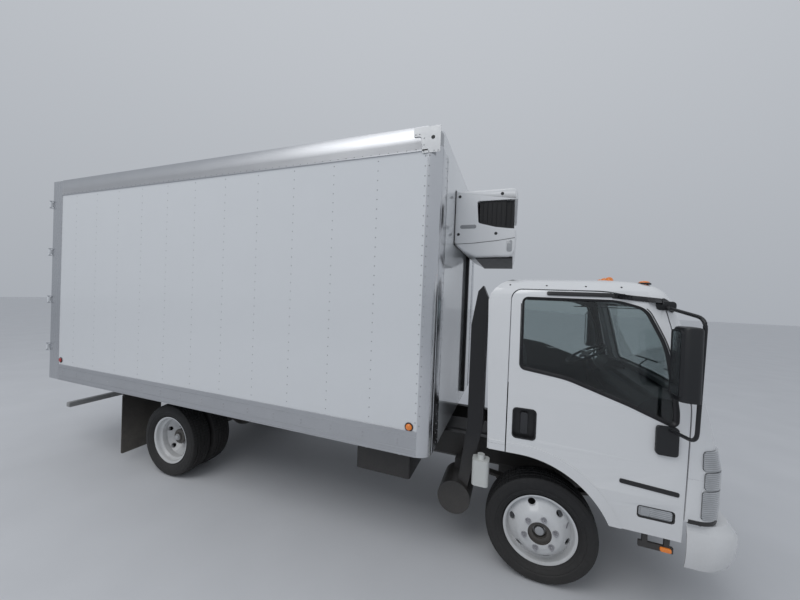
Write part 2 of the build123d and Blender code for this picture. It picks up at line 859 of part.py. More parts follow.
# The whole cab body first: walls, roof, pillars and floor, open for the doors and the glass
with BuildPart() as cab_body:
    with BuildSketch(level(cab_sill)):
        with Locations((door_rear, 0)):
            Rectangle(2 * (door_rear - cab_sections[0][1] - flare_proud), 2 * far_out)
    extrude(amount=cab_top)
    with BuildSketch(side(0)):
        add(arch_outline(flare_width))
    extrude(amount=far_out, both=True, mode=Mode.INTERSECT)
    add(cab_proud, mode=Mode.INTERSECT)
    add(cab_outer)
    with BuildPart(mode=Mode.PRIVATE) as cabin:
        add(cab_inner)
        split(bisect_by=Plane.XY.offset(cabin_floor), keep=Keep.TOP)
    add(cabin.part, mode=Mode.SUBTRACT)
    # engine bay between the frame rails and a wheel bay on each side
    with BuildSketch(level(0)):
        with Locations(((bay_front + bay_rear) / 2, 0)):
            Rectangle(bay_front - bay_rear, bay_width)
        Rectangle(2 * wheel_bay, 2 * (cab_half_width - cab_wall))
    extrude(amount=cabin_floor - floor_thickness, mode=Mode.SUBTRACT)
    with BuildSketch(side(0)):
        add(arch_outline(0))
    extrude(amount=far_out, both=True, mode=Mode.SUBTRACT)
    with BuildSketch(side(0)):
        with Locations((lamp_front, 0)):
            Rectangle(2 * (lamp_front - door_front + door_gap), 2 * panel_bottom)
    extrude(amount=far_out, both=True, mode=Mode.SUBTRACT)
    # side doors, down to the sills
    with BuildPart(mode=Mode.PRIVATE) as doorway:
        with BuildSketch(side(0)):
            add(door_outline(door_gap / 2))
        extrude(amount=far_out, both=True)
        add(sill_outer, mode=Mode.SUBTRACT)
    add(doorway.part, mode=Mode.SUBTRACT)
    # windscreen and rear window
    with BuildSketch(across(far_out)):
        add(screen_outline())
    extrude(amount=far_out - door_front / 2, mode=Mode.SUBTRACT)
    with BuildSketch(across(0)):
        with Locations((0, rear_window_middle)):
            RectangleRounded(rear_window_width, rear_window_height, 50)
    extrude(amount=far_out, mode=Mode.SUBTRACT)
    for hand in (1, -1):
        # door step wells, open to the sides
        with BuildSketch(level(cab_sill + step_thickness)):
            with Locations((step_middle, hand * (cab_half_width - step_depth / 2))):
                Rectangle(step_length, step_depth + 2 * cab_wall)
        extrude(amount=cabin_floor - cab_sill, mode=Mode.SUBTRACT)
        # ears round the pivot pins of the tilting cab
        with BuildSketch(side(hand * (frame_half + pivot_ear_gap))):
            with Locations((pivot_x, pivot_z)):
                Circle(2 * pivot_radius)
            with Locations((pivot_x + pivot_radius, pivot_z)):
                Rectangle(4 * pivot_radius, 3 * pivot_radius)
        extrude(amount=hand * pivot_ear)
        with BuildSketch(side(hand * frame_half)):
            with Locations((pivot_x, pivot_z)):
                Circle(pivot_radius + shaft_gap)
        extrude(amount=hand * (pivot_ear_gap + pivot_ear + cab_wall), mode=Mode.SUBTRACT)
        # pockets of the corner lamps
        with BuildPart(mode=Mode.PRIVATE) as pocket:
            with BuildSketch(side(hand * lamp_inner)):
                add(lamp_outline(lamp_gap))
            extrude(amount=hand * far_out)
            add(panel_back, mode=Mode.SUBTRACT)
        add(pocket.part, mode=Mode.SUBTRACT)
    # seat of the front lid, clear of it all round and behind
    with BuildPart(mode=Mode.PRIVATE) as panel_seat:
        with BuildSketch(across(far_out)):
            with Locations((0, (panel_low + panel_high) / 2)):
                RectangleRounded(2 * panel_half + 2 * panel_gap, panel_high - panel_low + 2 * panel_gap, panel_round)
        extrude(amount=far_out)
        add(seat_back, mode=Mode.SUBTRACT)
    add(panel_seat.part, mode=Mode.SUBTRACT)

# The body's panels meet at the waist and below the roof
with BuildPart() as cab_lower:
    add(cab_body.part)
    split(bisect_by=Plane.XY.offset(waist_seam), keep=Keep.BOTTOM)
    # engine cover between the seats
    with BuildSketch(level(cabin_floor - floor_thickness)):
        with Locations(((cover_front + cover_rear) / 2, 0)):
            Rectangle(cover_front - cover_rear, cover_width)
    extrude(amount=cover_height)
    with BuildSketch(level(cabin_floor - 2 * floor_thickness)):
        with Locations(((cover_front - cover_wall + cover_rear) / 2, 0)):
            Rectangle(cover_front - cover_wall - cover_rear, cover_width - 2 * cover_wall)
    extrude(amount=floor_thickness + cover_height - cover_wall, mode=Mode.SUBTRACT)
save(cab_lower.part, "cab_floor")

with BuildPart() as cab_upper:
    add(cab_body.part)
    split(bisect_by=Plane.XY.offset(waist_seam), keep=Keep.TOP)
    split(bisect_by=Plane.XY.offset(roof_seam), keep=Keep.BOTTOM)
for name, end in (("cab_front", Keep.TOP), ("cab_rear", Keep.BOTTOM)):
    with BuildPart() as cab_end:
        add(cab_upper.part)
        split(bisect_by=Plane.YZ.offset(axle_x), keep=end)
    save(cab_end.part, name)

with BuildPart() as cab_roof:
    add(cab_body.part)
    split(bisect_by=Plane.XY.offset(roof_seam), keep=Keep.TOP)
save(cab_roof.part, "cab_roof")

# Front panel: a lid with rows of grille slots, flush with the cab's front and hinged along its top
with BuildPart() as front_panel:
    add(cab_outer)
    add(panel_back, mode=Mode.SUBTRACT)
    with BuildSketch(across(far_out)):
        with Locations((0, (panel_low + panel_high) / 2)):
            RectangleRounded(2 * panel_half, panel_high - panel_low, panel_round)
    extrude(amount=far_out, mode=Mode.INTERSECT)
    with BuildSketch(across(far_out)):
        for row in range(grille_rows):
            with Locations((0, grille_low + row * grille_pitch)):
                SlotOverall(grille_width - row * grille_taper, grille_slot)
    extrude(amount=far_out, mode=Mode.SUBTRACT)
save(front_panel.part, "front_panel")

with BuildPart() as headlamps:
    for hand in (1, -1):
        with BuildSketch(side(hand * (lamp_inner + lamp_gap))):
            add(lamp_outline(0))
        extrude(amount=hand * far_out)
    add(cab_proud, mode=Mode.INTERSECT)
    add(panel_back, mode=Mode.SUBTRACT)
save(headlamps.part, "headlamps")

with BuildPart() as cab_glass:
    with BuildSketch(across(far_out)):
        add(screen_outline())
    extrude(amount=far_out - door_front / 2)
    with BuildSketch(across(0)):
        with Locations((0, rear_window_middle)):
            RectangleRounded(rear_window_width, rear_window_height, 50)
    extrude(amount=far_out)
    add(glass_outer, mode=Mode.INTERSECT)
    add(glass_inner, mode=Mode.SUBTRACT)
save(cab_glass.part, "cab_glass")

# Doors, their glass and their mirrors
with BuildPart() as door:
    add(cab_outer)
    add(cab_inner, mode=Mode.SUBTRACT)
    with BuildSketch(side(cab_half_width / 2)):
        add(door_outline(-door_gap / 2))
    extrude(amount=far_out, mode=Mode.INTERSECT)
    with BuildPart(mode=Mode.PRIVATE) as flare:
        add(cab_proud)
        add(glass_outer, mode=Mode.SUBTRACT)
        with BuildSketch(side(cab_half_width / 2)):
            add(door_outline(-door_gap / 2))
            add(arch_outline(flare_width), mode=Mode.INTERSECT)
        extrude(amount=far_out, mode=Mode.INTERSECT)
    add(flare.part)
    with BuildSketch(side(cab_half_width / 2)):
        add(arch_outline(0))
    extrude(amount=far_out, mode=Mode.SUBTRACT)
    with BuildSketch(side(cab_half_width / 2)):
        add(window_outline(0))
    extrude(amount=far_out, mode=Mode.SUBTRACT)
    with BuildSketch(side(cab_half_width - handle_depth)):
        with Locations((handle_middle, handle_height)):
            RectangleRounded(handle_width, handle_length, 25)
    extrude(amount=far_out, mode=Mode.SUBTRACT)
    with BuildSketch(side(cab_half_width - door_lamp_depth)):
        with Locations((door_lamp_middle, door_lamp_height)):
            RectangleRounded(door_lamp_width, door_lamp_tall, 20)
    extrude(amount=far_out, mode=Mode.SUBTRACT)
save_pair(door.part, "door")

with BuildPart() as door_glass:
    with BuildSketch(side(cab_half_width / 2)):
        add(window_outline(0))
    extrude(amount=far_out)
    add(glass_outer, mode=Mode.INTERSECT)
    add(glass_inner, mode=Mode.SUBTRACT)
save_pair(door_glass.part, "door_glass")

with BuildPart() as mirror_arm:
    with BuildSketch(level(mirror_bottom)):
        with Locations((tube_x - mirror_depth / 2 + 4, -tube_out + mirror_shift)):
            RectangleRounded(mirror_depth, mirror_width, mirror_depth * 0.4)
    extrude(amount=mirror_height)
    fillet(mirror_arm.edges().group_by(Axis.Z)[0] + mirror_arm.edges().group_by(Axis.Z)[-1], mirror_round)
    with BuildLine(Plane(origin=(axle_x, 0, 0))):
        loop = FilletPolyline((tube_x - 95, -cab_half_width + 140, tube_high + 25), (tube_x, -tube_out, tube_high),
                              (tube_x, -tube_out, tube_low), (tube_x - 70, -cab_half_width + 40, tube_low - 85),
                              radius=tube_bend)
    with BuildSketch(Plane(origin=loop @ 0, z_dir=loop % 0)):
        Circle(tube_radius)
    sweep()
    with BuildSketch(side(cab_half_width - 20)):
        with Locations((tube_x - 70, tube_low - 130)):
            RectangleRounded(124, 180, 20)
    extrude(amount=60)
    with BuildSketch(side(cab_half_width - 140)):
        with Locations((tube_x - 85, tube_high + 22)):
            RectangleRounded(110, 60, 20)
    extrude(amount=80)
    add(cab_outer, mode=Mode.SUBTRACT)
save_pair(mirror_arm.part, "mirror")

# Seats, dashboard and steering wheel
with BuildPart() as seats:
    # distance out, height of what the seat stands on
    for out, stand in ((seat_out, cabin_floor), (0, cover_top), (-seat_out, cabin_floor)):
        with BuildSketch(level(stand)):
            with Locations((seat_front - seat_depth / 2, -out)):
                Rectangle(seat_depth - 140, seat_width - 200)
        extrude(amount=seat_base - stand)
        with BuildSketch(level(seat_base)):
            with Locations((seat_front - seat_depth / 2, -out)):
                RectangleRounded(seat_depth, seat_width, 50)
        extrude(amount=cushion_height)
        back_foot = seat_front - seat_depth
        with BuildSketch(side(out)):
            with BuildLine():
                Polyline((back_foot + 15, seat_base + cushion_height - 20),
                         (back_foot + 125, seat_base + cushion_height - 20),
                         (back_foot + 65, seat_top), (back_foot - 5, seat_top), close=True)
            make_face()
        extrude(amount=seat_width / 2 - 10, both=True)
save(seats.part, "seats")

steer_plane = Plane(origin=(axle_x + steer_x, steer_out, steer_z), x_dir=(0, 1, 0),
                    z_dir=(-cos(pi / 3), 0, sin(pi / 3)))
with BuildPart() as dashboard:
    with BuildSketch(side(0)):
        with BuildLine():
            FilletPolyline((dash_rear + 20, dash_bottom), (bay_front, dash_bottom), (bay_front, dash_top - 40),
                           (dash_rear + 100, dash_top), (dash_rear, dash_top - 80),
                           radius=(20, 10, 10, 60, 40), close=True)
        make_face()
    extrude(amount=dash_half, both=True)
    add(cab_inner, mode=Mode.INTERSECT)
    with BuildSketch(side(-steer_out)):
        with Locations((745, dash_top - 20)):
            Circle(90)
    extrude(amount=180, both=True)
    with BuildSketch(steer_plane):
        Circle(column_radius)
    extrude(amount=-column_length - 1, mode=Mode.SUBTRACT)
save(dashboard.part, "dashboard")

with BuildPart() as steering_wheel:
    with BuildSketch(Plane(origin=steer_plane.origin, x_dir=steer_plane.x_dir, z_dir=steer_plane.y_dir)):
        with Locations((steer_radius, 0)):
            Circle(steer_grip)
    revolve(axis=Axis(steer_plane.origin, steer_plane.z_dir))
    with BuildSketch(steer_plane):
        Rectangle(2 * steer_radius, 34)
        with Locations((0, -steer_radius / 2)):
            Rectangle(34, steer_radius)
        Circle(70)
    extrude(amount=spoke_half, both=True)
    with BuildSketch(steer_plane):
        Circle(column_radius)
    extrude(amount=-column_length)
save(steering_wheel.part, "steering_wheel")

with BuildPart() as roof_lamps:
    for out in roof_lamp_outs:
        with BuildSketch(level(cab_top - 80)):
            with Locations((roof_lamp_x, -out)):
                Circle(roof_lamp_radius)
        extrude(amount=80 + roof_lamp_height)
    fillet(roof_lamps.edges().group_by(Axis.Z)[-1], roof_lamp_radius / 2)
    add(cab_outer, mode=Mode.SUBTRACT)
save(roof_lamps.part, "roof_lamps")

# Box body: floor on sleepers and two long members, walls, roof and their edge profiles
inner_half = box_half_width - side_wall
side_front = box_front - corner_radius
portal_front = box_rear + rear_depth
with BuildPart() as box_floor:
    with BuildSketch(across(box_front - front_wall)):
        with Locations((0, (floor_top + sleeper_top) / 2)):
            Rectangle(2 * inner_half, floor_top - sleeper_top)
    extrude(amount=box_front - front_wall - portal_front)
    for n in range(sleeper_count):
        with BuildSketch(across(box_front - front_wall - sleeper_start - n * sleeper_pitch)):
            with Locations((0, (sleeper_top + box_bottom) / 2)):
                Rectangle(2 * inner_half, sleeper_top - box_bottom)
        extrude(amount=sleeper_width)
    for hand in (1, -1):
        with BuildSketch(across(box_front - front_wall)):
            with Locations((hand * (frame_half - rail_flange / 2), (box_bottom + frame_top) / 2)):
                Rectangle(rail_flange, box_bottom - frame_top)
        extrude(amount=box_front - front_wall - portal_front)
save(box_floor.part, "box_floor")

with BuildPart() as box_sides:
    for hand in (1, -1):
        with BuildSketch(side(hand * inner_half)):
            with Locations(((side_front + portal_front) / 2, (box_bottom + box_roof) / 2)):
                Rectangle(side_front - portal_front, box_roof - box_bottom)
        extrude(amount=hand * (side_wall - skin))
save(box_sides.part, "box_sides")

with BuildPart() as roof_panel:
    with BuildSketch(level(box_roof - roof_thickness)):
        with Locations(((box_front - front_wall + portal_front) / 2, 0)):
            Rectangle(box_front - front_wall - portal_front, 2 * inner_half)
    extrude(amount=roof_thickness)
save(roof_panel.part, "box_roof")

with BuildPart() as front_wall_panel:
    with BuildSketch(across(box_front)):
        with Locations((0, (box_bottom + box_roof) / 2)):
            Rectangle(2 * (box_half_width - corner_radius), box_roof - box_bottom)
    extrude(amount=front_wall)
save(front_wall_panel.part, "box_front_wall")

with BuildPart() as corner_posts:
    for hand in (1, -1):
        with BuildSketch(level(box_bottom)):
            with Locations((side_front, -hand * (box_half_width - corner_radius))):
                Circle(corner_radius)
            with Locations((box_front - corner_radius / 2, -hand * (box_half_width - corner_radius / 2))):
                Rectangle(corner_radius, corner_radius, mode=Mode.INTERSECT)
        extrude(amount=box_roof - cap_height - box_bottom)
save(corner_posts.part, "corner_posts")

# Cast caps close the front top corners, with thin flanges on the side and the front
with BuildPart() as corner_caps:
    for hand in (1, -1):
        with BuildSketch(level(box_roof - cap_height)):
            with Locations((side_front, -hand * (box_half_width - corner_radius))):
                Circle(corner_radius)
            with Locations((box_front - corner_radius / 2, -hand * (box_half_width - corner_radius / 2))):
                Rectangle(corner_radius, corner_radius, mode=Mode.INTERSECT)
        extrude(amount=cap_height)
    fillet(corner_caps.edges().filter_by(GeomType.CIRCLE).group_by(Axis.Z)[-1], cap_round)
    for hand in (1, -1):
        with BuildSketch(level(box_roof - cap_height)):
            with Locations((side_front - cap_overlap / 2 + 8, -hand * (box_half_width + cap_flange / 2 - 1))):
                Rectangle(cap_overlap + 16, cap_flange + 2)
            with Locations((side_front - cap_overlap / 2, -hand * box_half_width)):
                Rectangle(cap_overlap, 2 * corner_radius, mode=Mode.SUBTRACT)
            with Locations((side_front - cap_overlap / 2, -hand * (box_half_width + cap_flange / 2))):
                Rectangle(cap_overlap, cap_flange)
        extrude(amount=cap_height - cap_round)
save(corner_caps.part, "corner_caps")

# Bottom rails: an extruded plate with rounded lips and grooves
with BuildPart() as bottom_rails:
    for hand in (1, -1):
        with BuildSketch(across(side_front)):
            with Locations((hand * (box_half_width - skin / 2), (box_bottom + rail_top) / 2)):
                Rectangle(skin, rail_top - box_bottom)
            for height in rail_ribs:
                with Locations((hand * box_half_width, height)):
                    Rectangle(2 * rail_rib_proud, rail_rib_height)
        extrude(amount=side_front - portal_front)
save(bottom_rails.part, "bottom_rails")

with BuildPart() as top_rails:
    for hand in (1, -1):
        with BuildSketch(across(side_front)):
            with Locations((hand * (box_half_width - skin / 2), box_roof - top_rail / 2)):
                Rectangle(skin, top_rail)
            with Locations((hand * (box_half_width - roof_lip / 2), box_roof + skin / 2)):
                Rectangle(roof_lip, skin)
        extrude(amount=side_front - portal_front)
        with BuildSketch(across(side_front)):
            with Locations((hand * (box_half_width + skin / 2), box_roof - top_rail + rail_rib_height / 2)):
                Rectangle(skin, rail_rib_height)
        extrude(amount=side_front - portal_front)
save(top_rails.part, "top_rails")

# Rear frame: a portal of posts, header and sill that the cargo doors close
portal_top = box_roof - header_height
pin_out = box_half_width + hinge_out
with BuildPart() as rear_frame:
    with BuildSketch(across(portal_front)):
        with Locations((0, (box_bottom + box_roof) / 2)):
            Rectangle(2 * box_half_width, box_roof - box_bottom)
        with Locations((0, (sill_top + portal_top) / 2)):
            Rectangle(2 * (box_half_width - rear_post), portal_top - sill_top, mode=Mode.SUBTRACT)
    extrude(amount=rear_depth)
    for hand in (1, -1):
        for z in hinge_heights:
            with BuildSketch(level(z - hinge_half - lug_thickness - hinge_gap)):
                with Locations((box_rear - hinge_back, -hand * pin_out)):
                    Circle(hinge_pin)
            extrude(amount=2 * (hinge_half + lug_thickness + hinge_gap))
            for lug in (z - hinge_half - hinge_gap - lug_thickness, z + hinge_half + hinge_gap):
                with BuildSketch(level(lug)):
                    with Locations((box_rear - hinge_back, -hand * pin_out)):
                        Circle(hinge_radius)
                    with Locations((box_rear + hinge_radius, -hand * (box_half_width - hinge_radius))):
                        Circle(hinge_radius)
                    make_hull()
                extrude(amount=lug_thickness)
        # keepers that hold the lock bars' cams at header and sill
        for out in lock_bar_outs:
            for z in (sill_top - keeper_inset, portal_top + keeper_inset):
                with BuildSketch(across(box_rear)):
                    with Locations((hand * (out + keeper_width / 2 + bar_radius + 6), z)):
                        Rectangle(keeper_width, keeper_height)
                    with Locations((hand * (out - keeper_width / 2 - bar_radius - 6), z)):
                        Rectangle(keeper_width, keeper_height)
                extrude(amount=keeper_depth)
save(rear_frame.part, "rear_frame")

leaf_half = box_half_width - rear_post - rear_door_gap
leaf_face = box_rear + leaf_recess
strap_end = leaf_half - strap_length
with BuildPart() as cargo_door:
    with BuildSketch(across(leaf_face + door_thickness)):
        with Locations(((leaf_half + leaf_meeting / 2) / 2, (sill_top + portal_top) / 2)):
            Rectangle(leaf_half - leaf_meeting / 2, portal_top - sill_top - 2 * rear_door_gap)
    extrude(amount=door_thickness)
    for z in hinge_heights:
        with BuildSketch(level(z - hinge_half)):
            with Locations((box_rear - hinge_back, -pin_out)):
                Circle(hinge_radius)
            with Locations((box_rear - strap_stand, -(pin_out + strap_end) / 2)):
                Rectangle(strap_thickness, pin_out - strap_end)
            with Locations(((leaf_face + box_rear - strap_stand) / 2, -(leaf_half + strap_end) / 2)):
                Rectangle(leaf_face - box_rear + strap_stand, leaf_half - strap_end)
            with Locations((box_rear - hinge_back, -pin_out)):
                Circle(hinge_pin + shaft_gap, mode=Mode.SUBTRACT)
        extrude(amount=2 * hinge_half)
save_pair(cargo_door.part, "cargo_door")

# Lock bars: two rods a leaf with brackets, cams at both ends and a handle
bar_x = box_rear - bar_stand
with BuildPart() as lock_bars:
    for out in lock_bar_outs:
        with BuildSketch(level(sill_top - keeper_inset - keeper_height / 2)):
            with Locations((bar_x, -out)):
                Circle(bar_radius)
        extrude(amount=portal_top - sill_top + 2 * keeper_inset + keeper_height)
        for z in bracket_heights:
            with BuildSketch(across(leaf_face)):
                with Locations((out, z)):
                    RectangleRounded(bracket_size, bracket_size, 8)
            extrude(amount=leaf_face - bar_x)
        with BuildSketch(across(bar_x + handle_bar / 2)):
            with Locations((out - handle_reach / 2, handle_bar_height)):
                RectangleRounded(handle_reach, handle_bar_width, 10)
        extrude(amount=handle_bar)
        with BuildSketch(across(leaf_face)):
            with Locations((out - handle_reach + 30, handle_bar_height)):
                Rectangle(24, handle_bar_width + 20)
        extrude(amount=leaf_face - bar_x - handle_bar / 2)
save_pair(lock_bars.part, "lock_bars")

# Cooling unit: a moulded nose housing with an open grille bay in its sides and front
with BuildPart() as cooling_unit:
    with BuildSketch(side(0)):
        with BuildLine():
            FilletPolyline((unit_rear, unit_top), (unit_front - 22, unit_top), (unit_front, unit_top - 150),
                           (unit_front - 18, unit_bottom + 175), (unit_front - 18, unit_bottom),
                           (unit_rear + 75, unit_bottom), (unit_rear, unit_bottom + 75),
                           radius=(8, 45, 200, 200, 70, 20, 20), close=True)
        make_face()
    extrude(amount=unit_half_width, both=True)
    fillet(cooling_unit.faces().filter_by(Axis.Y).edges().filter_by(lambda e: e.center().X > axle_x + unit_rear + 10),
           unit_round)
    # grille bay: side windows and the whole front between the brow and the jaw
    with BuildSketch(side(0)):
        with BuildLine():
            FilletPolyline((window_rear, bay_top), (unit_front + 50, bay_top), (unit_front + 50, jaw_top),
                           (unit_front - 60, jaw_top), (unit_front - 190, jaw_top + 32), (window_rear + 15, jaw_top + 66),
                           radius=(18, 10, 10, 60, 100, 30), close=True)
        make_face()
    extrude(amount=far_out, both=True, mode=Mode.SUBTRACT)
    # back-plate flush on the body, a little narrower steps below
    with BuildSketch(across(unit_rear)):
        with Locations((0, (unit_top + plate_low) / 2)):
            RectangleRounded(2 * unit_half_width + 10, unit_top - plate_low + 6, 12)
    extrude(amount=unit_rear - box_front)
save(cooling_unit.part, "cooling_unit")

# Condenser: the core in the bay with upright grille slats, and its foot below the jaw
with BuildPart() as condenser:
    with BuildSketch(side(0)):
        with Locations(((core_front + core_rear) / 2, (core_high + core_low) / 2)):
            Rectangle(core_front - core_rear, core_high - core_low)
    extrude(amount=unit_half_width - core_inset, both=True)
    for n in range(slat_count):
        with BuildSketch(level(core_low)):
            with Locations((core_front, (n - (slat_count - 1) / 2) * slat_pitch)):
                Rectangle(2 * slat_depth, slat_width)
        extrude(amount=core_high - core_low)
    with BuildSketch(level(foot_bottom)):
        with Locations(((foot_front + foot_rear) / 2, 0)):
            RectangleRounded(foot_front - foot_rear, 2 * foot_half, 15)
    extrude(amount=unit_bottom - foot_bottom)
save(condenser.part, "condenser")

with BuildPart() as evaporator:
    with BuildSketch(side(0)):
        with BuildLine():
            evaporator_rear = box_front - front_wall - evaporator_depth
            roof_inside = box_roof - roof_thickness
            Polyline((box_front - front_wall, roof_inside), (evaporator_rear, roof_inside),
                     (evaporator_rear, roof_inside - evaporator_height / 2),
                     (evaporator_rear + 120, roof_inside - evaporator_height),
                     (box_front - front_wall, roof_inside - evaporator_height), close=True)
        make_face()
    extrude(amount=evaporator_width / 2, both=True)
    for out in (-300, 300):
        with BuildSketch(level(roof_inside - evaporator_height)):
            with Locations((box_front - front_wall - evaporator_depth / 3, out)):
                Circle(140)
        extrude(amount=30, mode=Mode.SUBTRACT)
save(evaporator.part, "evaporator")

# Mud flaps on their brackets behind the rear wheels
with BuildPart() as mud_flaps:
    for hand in (1, -1):
        with BuildSketch(across(flap_x)):
            with Locations((hand * flap_out, (flap_top + flap_bottom) / 2)):
                RectangleRounded(flap_width, flap_top - flap_bottom, 20)
        extrude(amount=flap_thickness)
        bracket_low = flap_top - flap_overlap
        bracket_out = flap_out + flap_width / 2 - frame_half
        with BuildSketch(across(flap_x + flap_bracket)):
            with Locations((hand * (frame_half + bracket_out / 2), (bracket_low + box_bottom) / 2)):
                Rectangle(bracket_out, box_bottom - bracket_low)
        extrude(amount=flap_bracket)
save(mud_flaps.part, "mud_flaps")

underrun_x = portal_front - underrun_gap
with BuildPart() as underrun_bar:
    with BuildSketch(across(underrun_x)):
        with Locations((0, underrun_height)):
            RectangleRounded(underrun_width, underrun_tube, 12)
    extrude(amount=underrun_tube)
    for hand in (1, -1):
        with BuildSketch(across(underrun_x)):
            with Locations((hand * frame_half, (underrun_height + box_bottom) / 2)):
                Rectangle(underrun_leg, box_bottom - underrun_height)
        extrude(amount=underrun_tube)
save(underrun_bar.part, "underrun_bar")

with BuildPart() as tail_lamps:
    for hand in (1, -1):
        with BuildSketch(across(box_rear)):
            with Locations((hand * tail_lamp_out, (box_bottom + sill_top) / 2)):
                RectangleRounded(tail_lamp_width, tail_lamp_height, 30)
        extrude(amount=tail_lamp_proud)
save(tail_lamps.part, "tail_lamps")
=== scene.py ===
# %% [markdown]
# # Refrigerated box truck
# The truck stands on a pale studio floor and is seen from its right side, a little behind its front axle,
# by a very short lens. The solid pieces come from the frame at their real size. This lesson gives each one its
# finish, and adds what a solid model leaves out: tread, rivets, seals, lamps and small fittings.

# %% Load the frame
import json
import math
import bmesh
import bpy
from mathutils import Matrix, Vector
from mathutils.bvhtree import BVHTree


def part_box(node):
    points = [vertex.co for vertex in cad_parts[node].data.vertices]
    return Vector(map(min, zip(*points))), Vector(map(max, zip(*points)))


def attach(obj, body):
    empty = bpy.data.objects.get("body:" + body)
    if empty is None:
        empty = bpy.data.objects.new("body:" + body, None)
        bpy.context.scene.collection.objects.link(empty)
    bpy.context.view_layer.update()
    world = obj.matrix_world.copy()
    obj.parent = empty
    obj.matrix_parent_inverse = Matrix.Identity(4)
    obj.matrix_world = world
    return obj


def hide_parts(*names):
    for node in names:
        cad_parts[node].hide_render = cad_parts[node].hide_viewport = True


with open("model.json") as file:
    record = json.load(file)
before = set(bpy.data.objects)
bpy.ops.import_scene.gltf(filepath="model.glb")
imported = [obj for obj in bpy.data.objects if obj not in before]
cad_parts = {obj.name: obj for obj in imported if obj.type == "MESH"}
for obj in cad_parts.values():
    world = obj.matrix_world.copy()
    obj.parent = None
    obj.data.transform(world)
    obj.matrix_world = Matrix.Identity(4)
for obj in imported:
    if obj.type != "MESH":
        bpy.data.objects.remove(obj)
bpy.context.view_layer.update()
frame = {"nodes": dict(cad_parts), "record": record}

nodes = frame["nodes"]
record = frame["record"]
body_of = {node: body for body, held in record["behaviour"]["bodies"].items() for node in held}
slot_of = {entry["node"]: entry["material_slot"] for entry in record["subparts"]}
sides = {"right": -1, "left": 1}
scene = bpy.context.scene
axle_x = sum(p.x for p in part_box("front_tyre_right")) / 2
print("front axle at", round(axle_x, 4), "with", len(nodes), "solid pieces")

# %% [markdown]
# ## Camera
# The photographer stood about three and a half metres from the truck's centre line with an ultra-wide lens.
# The camera's place and turn were solved from the truck's straight edges and wheels, so they are typed here as
# measured values: metres from the ground point under the front axle, and angles in degrees.

# %% Place the camera
camera_from_axle = Vector((-0.2597, -3.4902, 2.1133))
camera_yaw, camera_pitch, camera_roll = 19.679, -0.692, 2.244
camera_lens, sensor_width, view_end = 14.133, 36, 200


def place_camera():
    """Camera looking along +Y, turned left by the yaw, tipped by the pitch and rolled about its own axis."""
    camera = bpy.data.objects.new("camera", bpy.data.cameras.new("camera"))
    scene.collection.objects.link(camera)
    turn = Matrix.Rotation(math.radians(camera_yaw), 4, "Z")
    tip = Matrix.Rotation(math.radians(90 + camera_pitch), 4, "X")
    roll = Matrix.Rotation(math.radians(camera_roll), 4, "Z")
    camera.matrix_world = Matrix.Translation(camera_from_axle + Vector((axle_x, 0, 0))) @ turn @ tip @ roll
    camera.data.lens = camera_lens
    camera.data.sensor_width = sensor_width
    camera.data.clip_end = view_end
    scene.camera = camera
    return camera


camera = place_camera()
print("camera height", round(camera.location.z, 3), "lens", camera.data.lens)

# %% [markdown]
# ## Shader groups
# A real finish is never one flat colour. Four effects come back on nearly every surface of a truck: a film of road
# dust that thins with height, the fine texture and slow waves of sprayed or rolled panels, the streaks of brushed
# metal, and the grain of moulded plastic. Each is a node group, built once, and every material gives it its own values.

# %% Handle node trees
def fill(made, inputs):
    """Give a node's inputs, by name or number, a value each or another node's output."""
    for key, value in inputs.items():
        if isinstance(value, bpy.types.NodeSocket):
            made.id_data.links.new(value, made.inputs[key])
        else:
            made.inputs[key].default_value = value


def add_node(tree, kind, inputs=None, **settings):
    """Shader node of a kind, with its settings and its inputs."""
    made = tree.nodes.new("ShaderNode" + kind)
    for key, value in settings.items():
        setattr(made, key, value)
    fill(made, inputs or {})
    return made


def own_place(tree):
    """Place on a piece, in metres."""
    return add_node(tree, "TexCoord").outputs["Object"]


def noise(tree, where, scale, detail, roughness=0.5):
    """Noise from 0 to 1, scaled per metre."""
    return add_node(tree, "TexNoise", {"Vector": where, "Scale": scale, "Detail": detail,
                                       "Roughness": roughness}).outputs["Fac"]


def new_group(name, inputs, outputs):
    """Shader group with a float socket for each number, a colour socket for each tuple, and named outputs."""
    group = bpy.data.node_groups.new(name, "ShaderNodeTree")
    for label, value in inputs.items():
        kind = "NodeSocketColor" if isinstance(value, tuple) else "NodeSocketFloat"
        group.interface.new_socket(label, in_out="INPUT", socket_type=kind).default_value = value
    for label, kind in outputs.items():
        group.interface.new_socket(label, in_out="OUTPUT", socket_type=kind)
    return group, group.nodes.new("NodeGroupInput").outputs, group.nodes.new("NodeGroupOutput")


def maths(tree, operation, first, second):
    """Sum or product of two sockets or numbers."""
    return add_node(tree, "Math", {0: first, 1: second}, operation=operation).outputs[0]


def mixed(tree, factor, first, second):
    """Blend of two colours."""
    return add_node(tree, "Mix", {0: factor, 6: first, 7: second}, data_type="RGBA").outputs[2]


print("node helpers are ready")

# %% Build the road film group
patch_share, speck_share = 1.2, 0.5
clouded_tint = (0.55, 0.55, 0.56, 1)


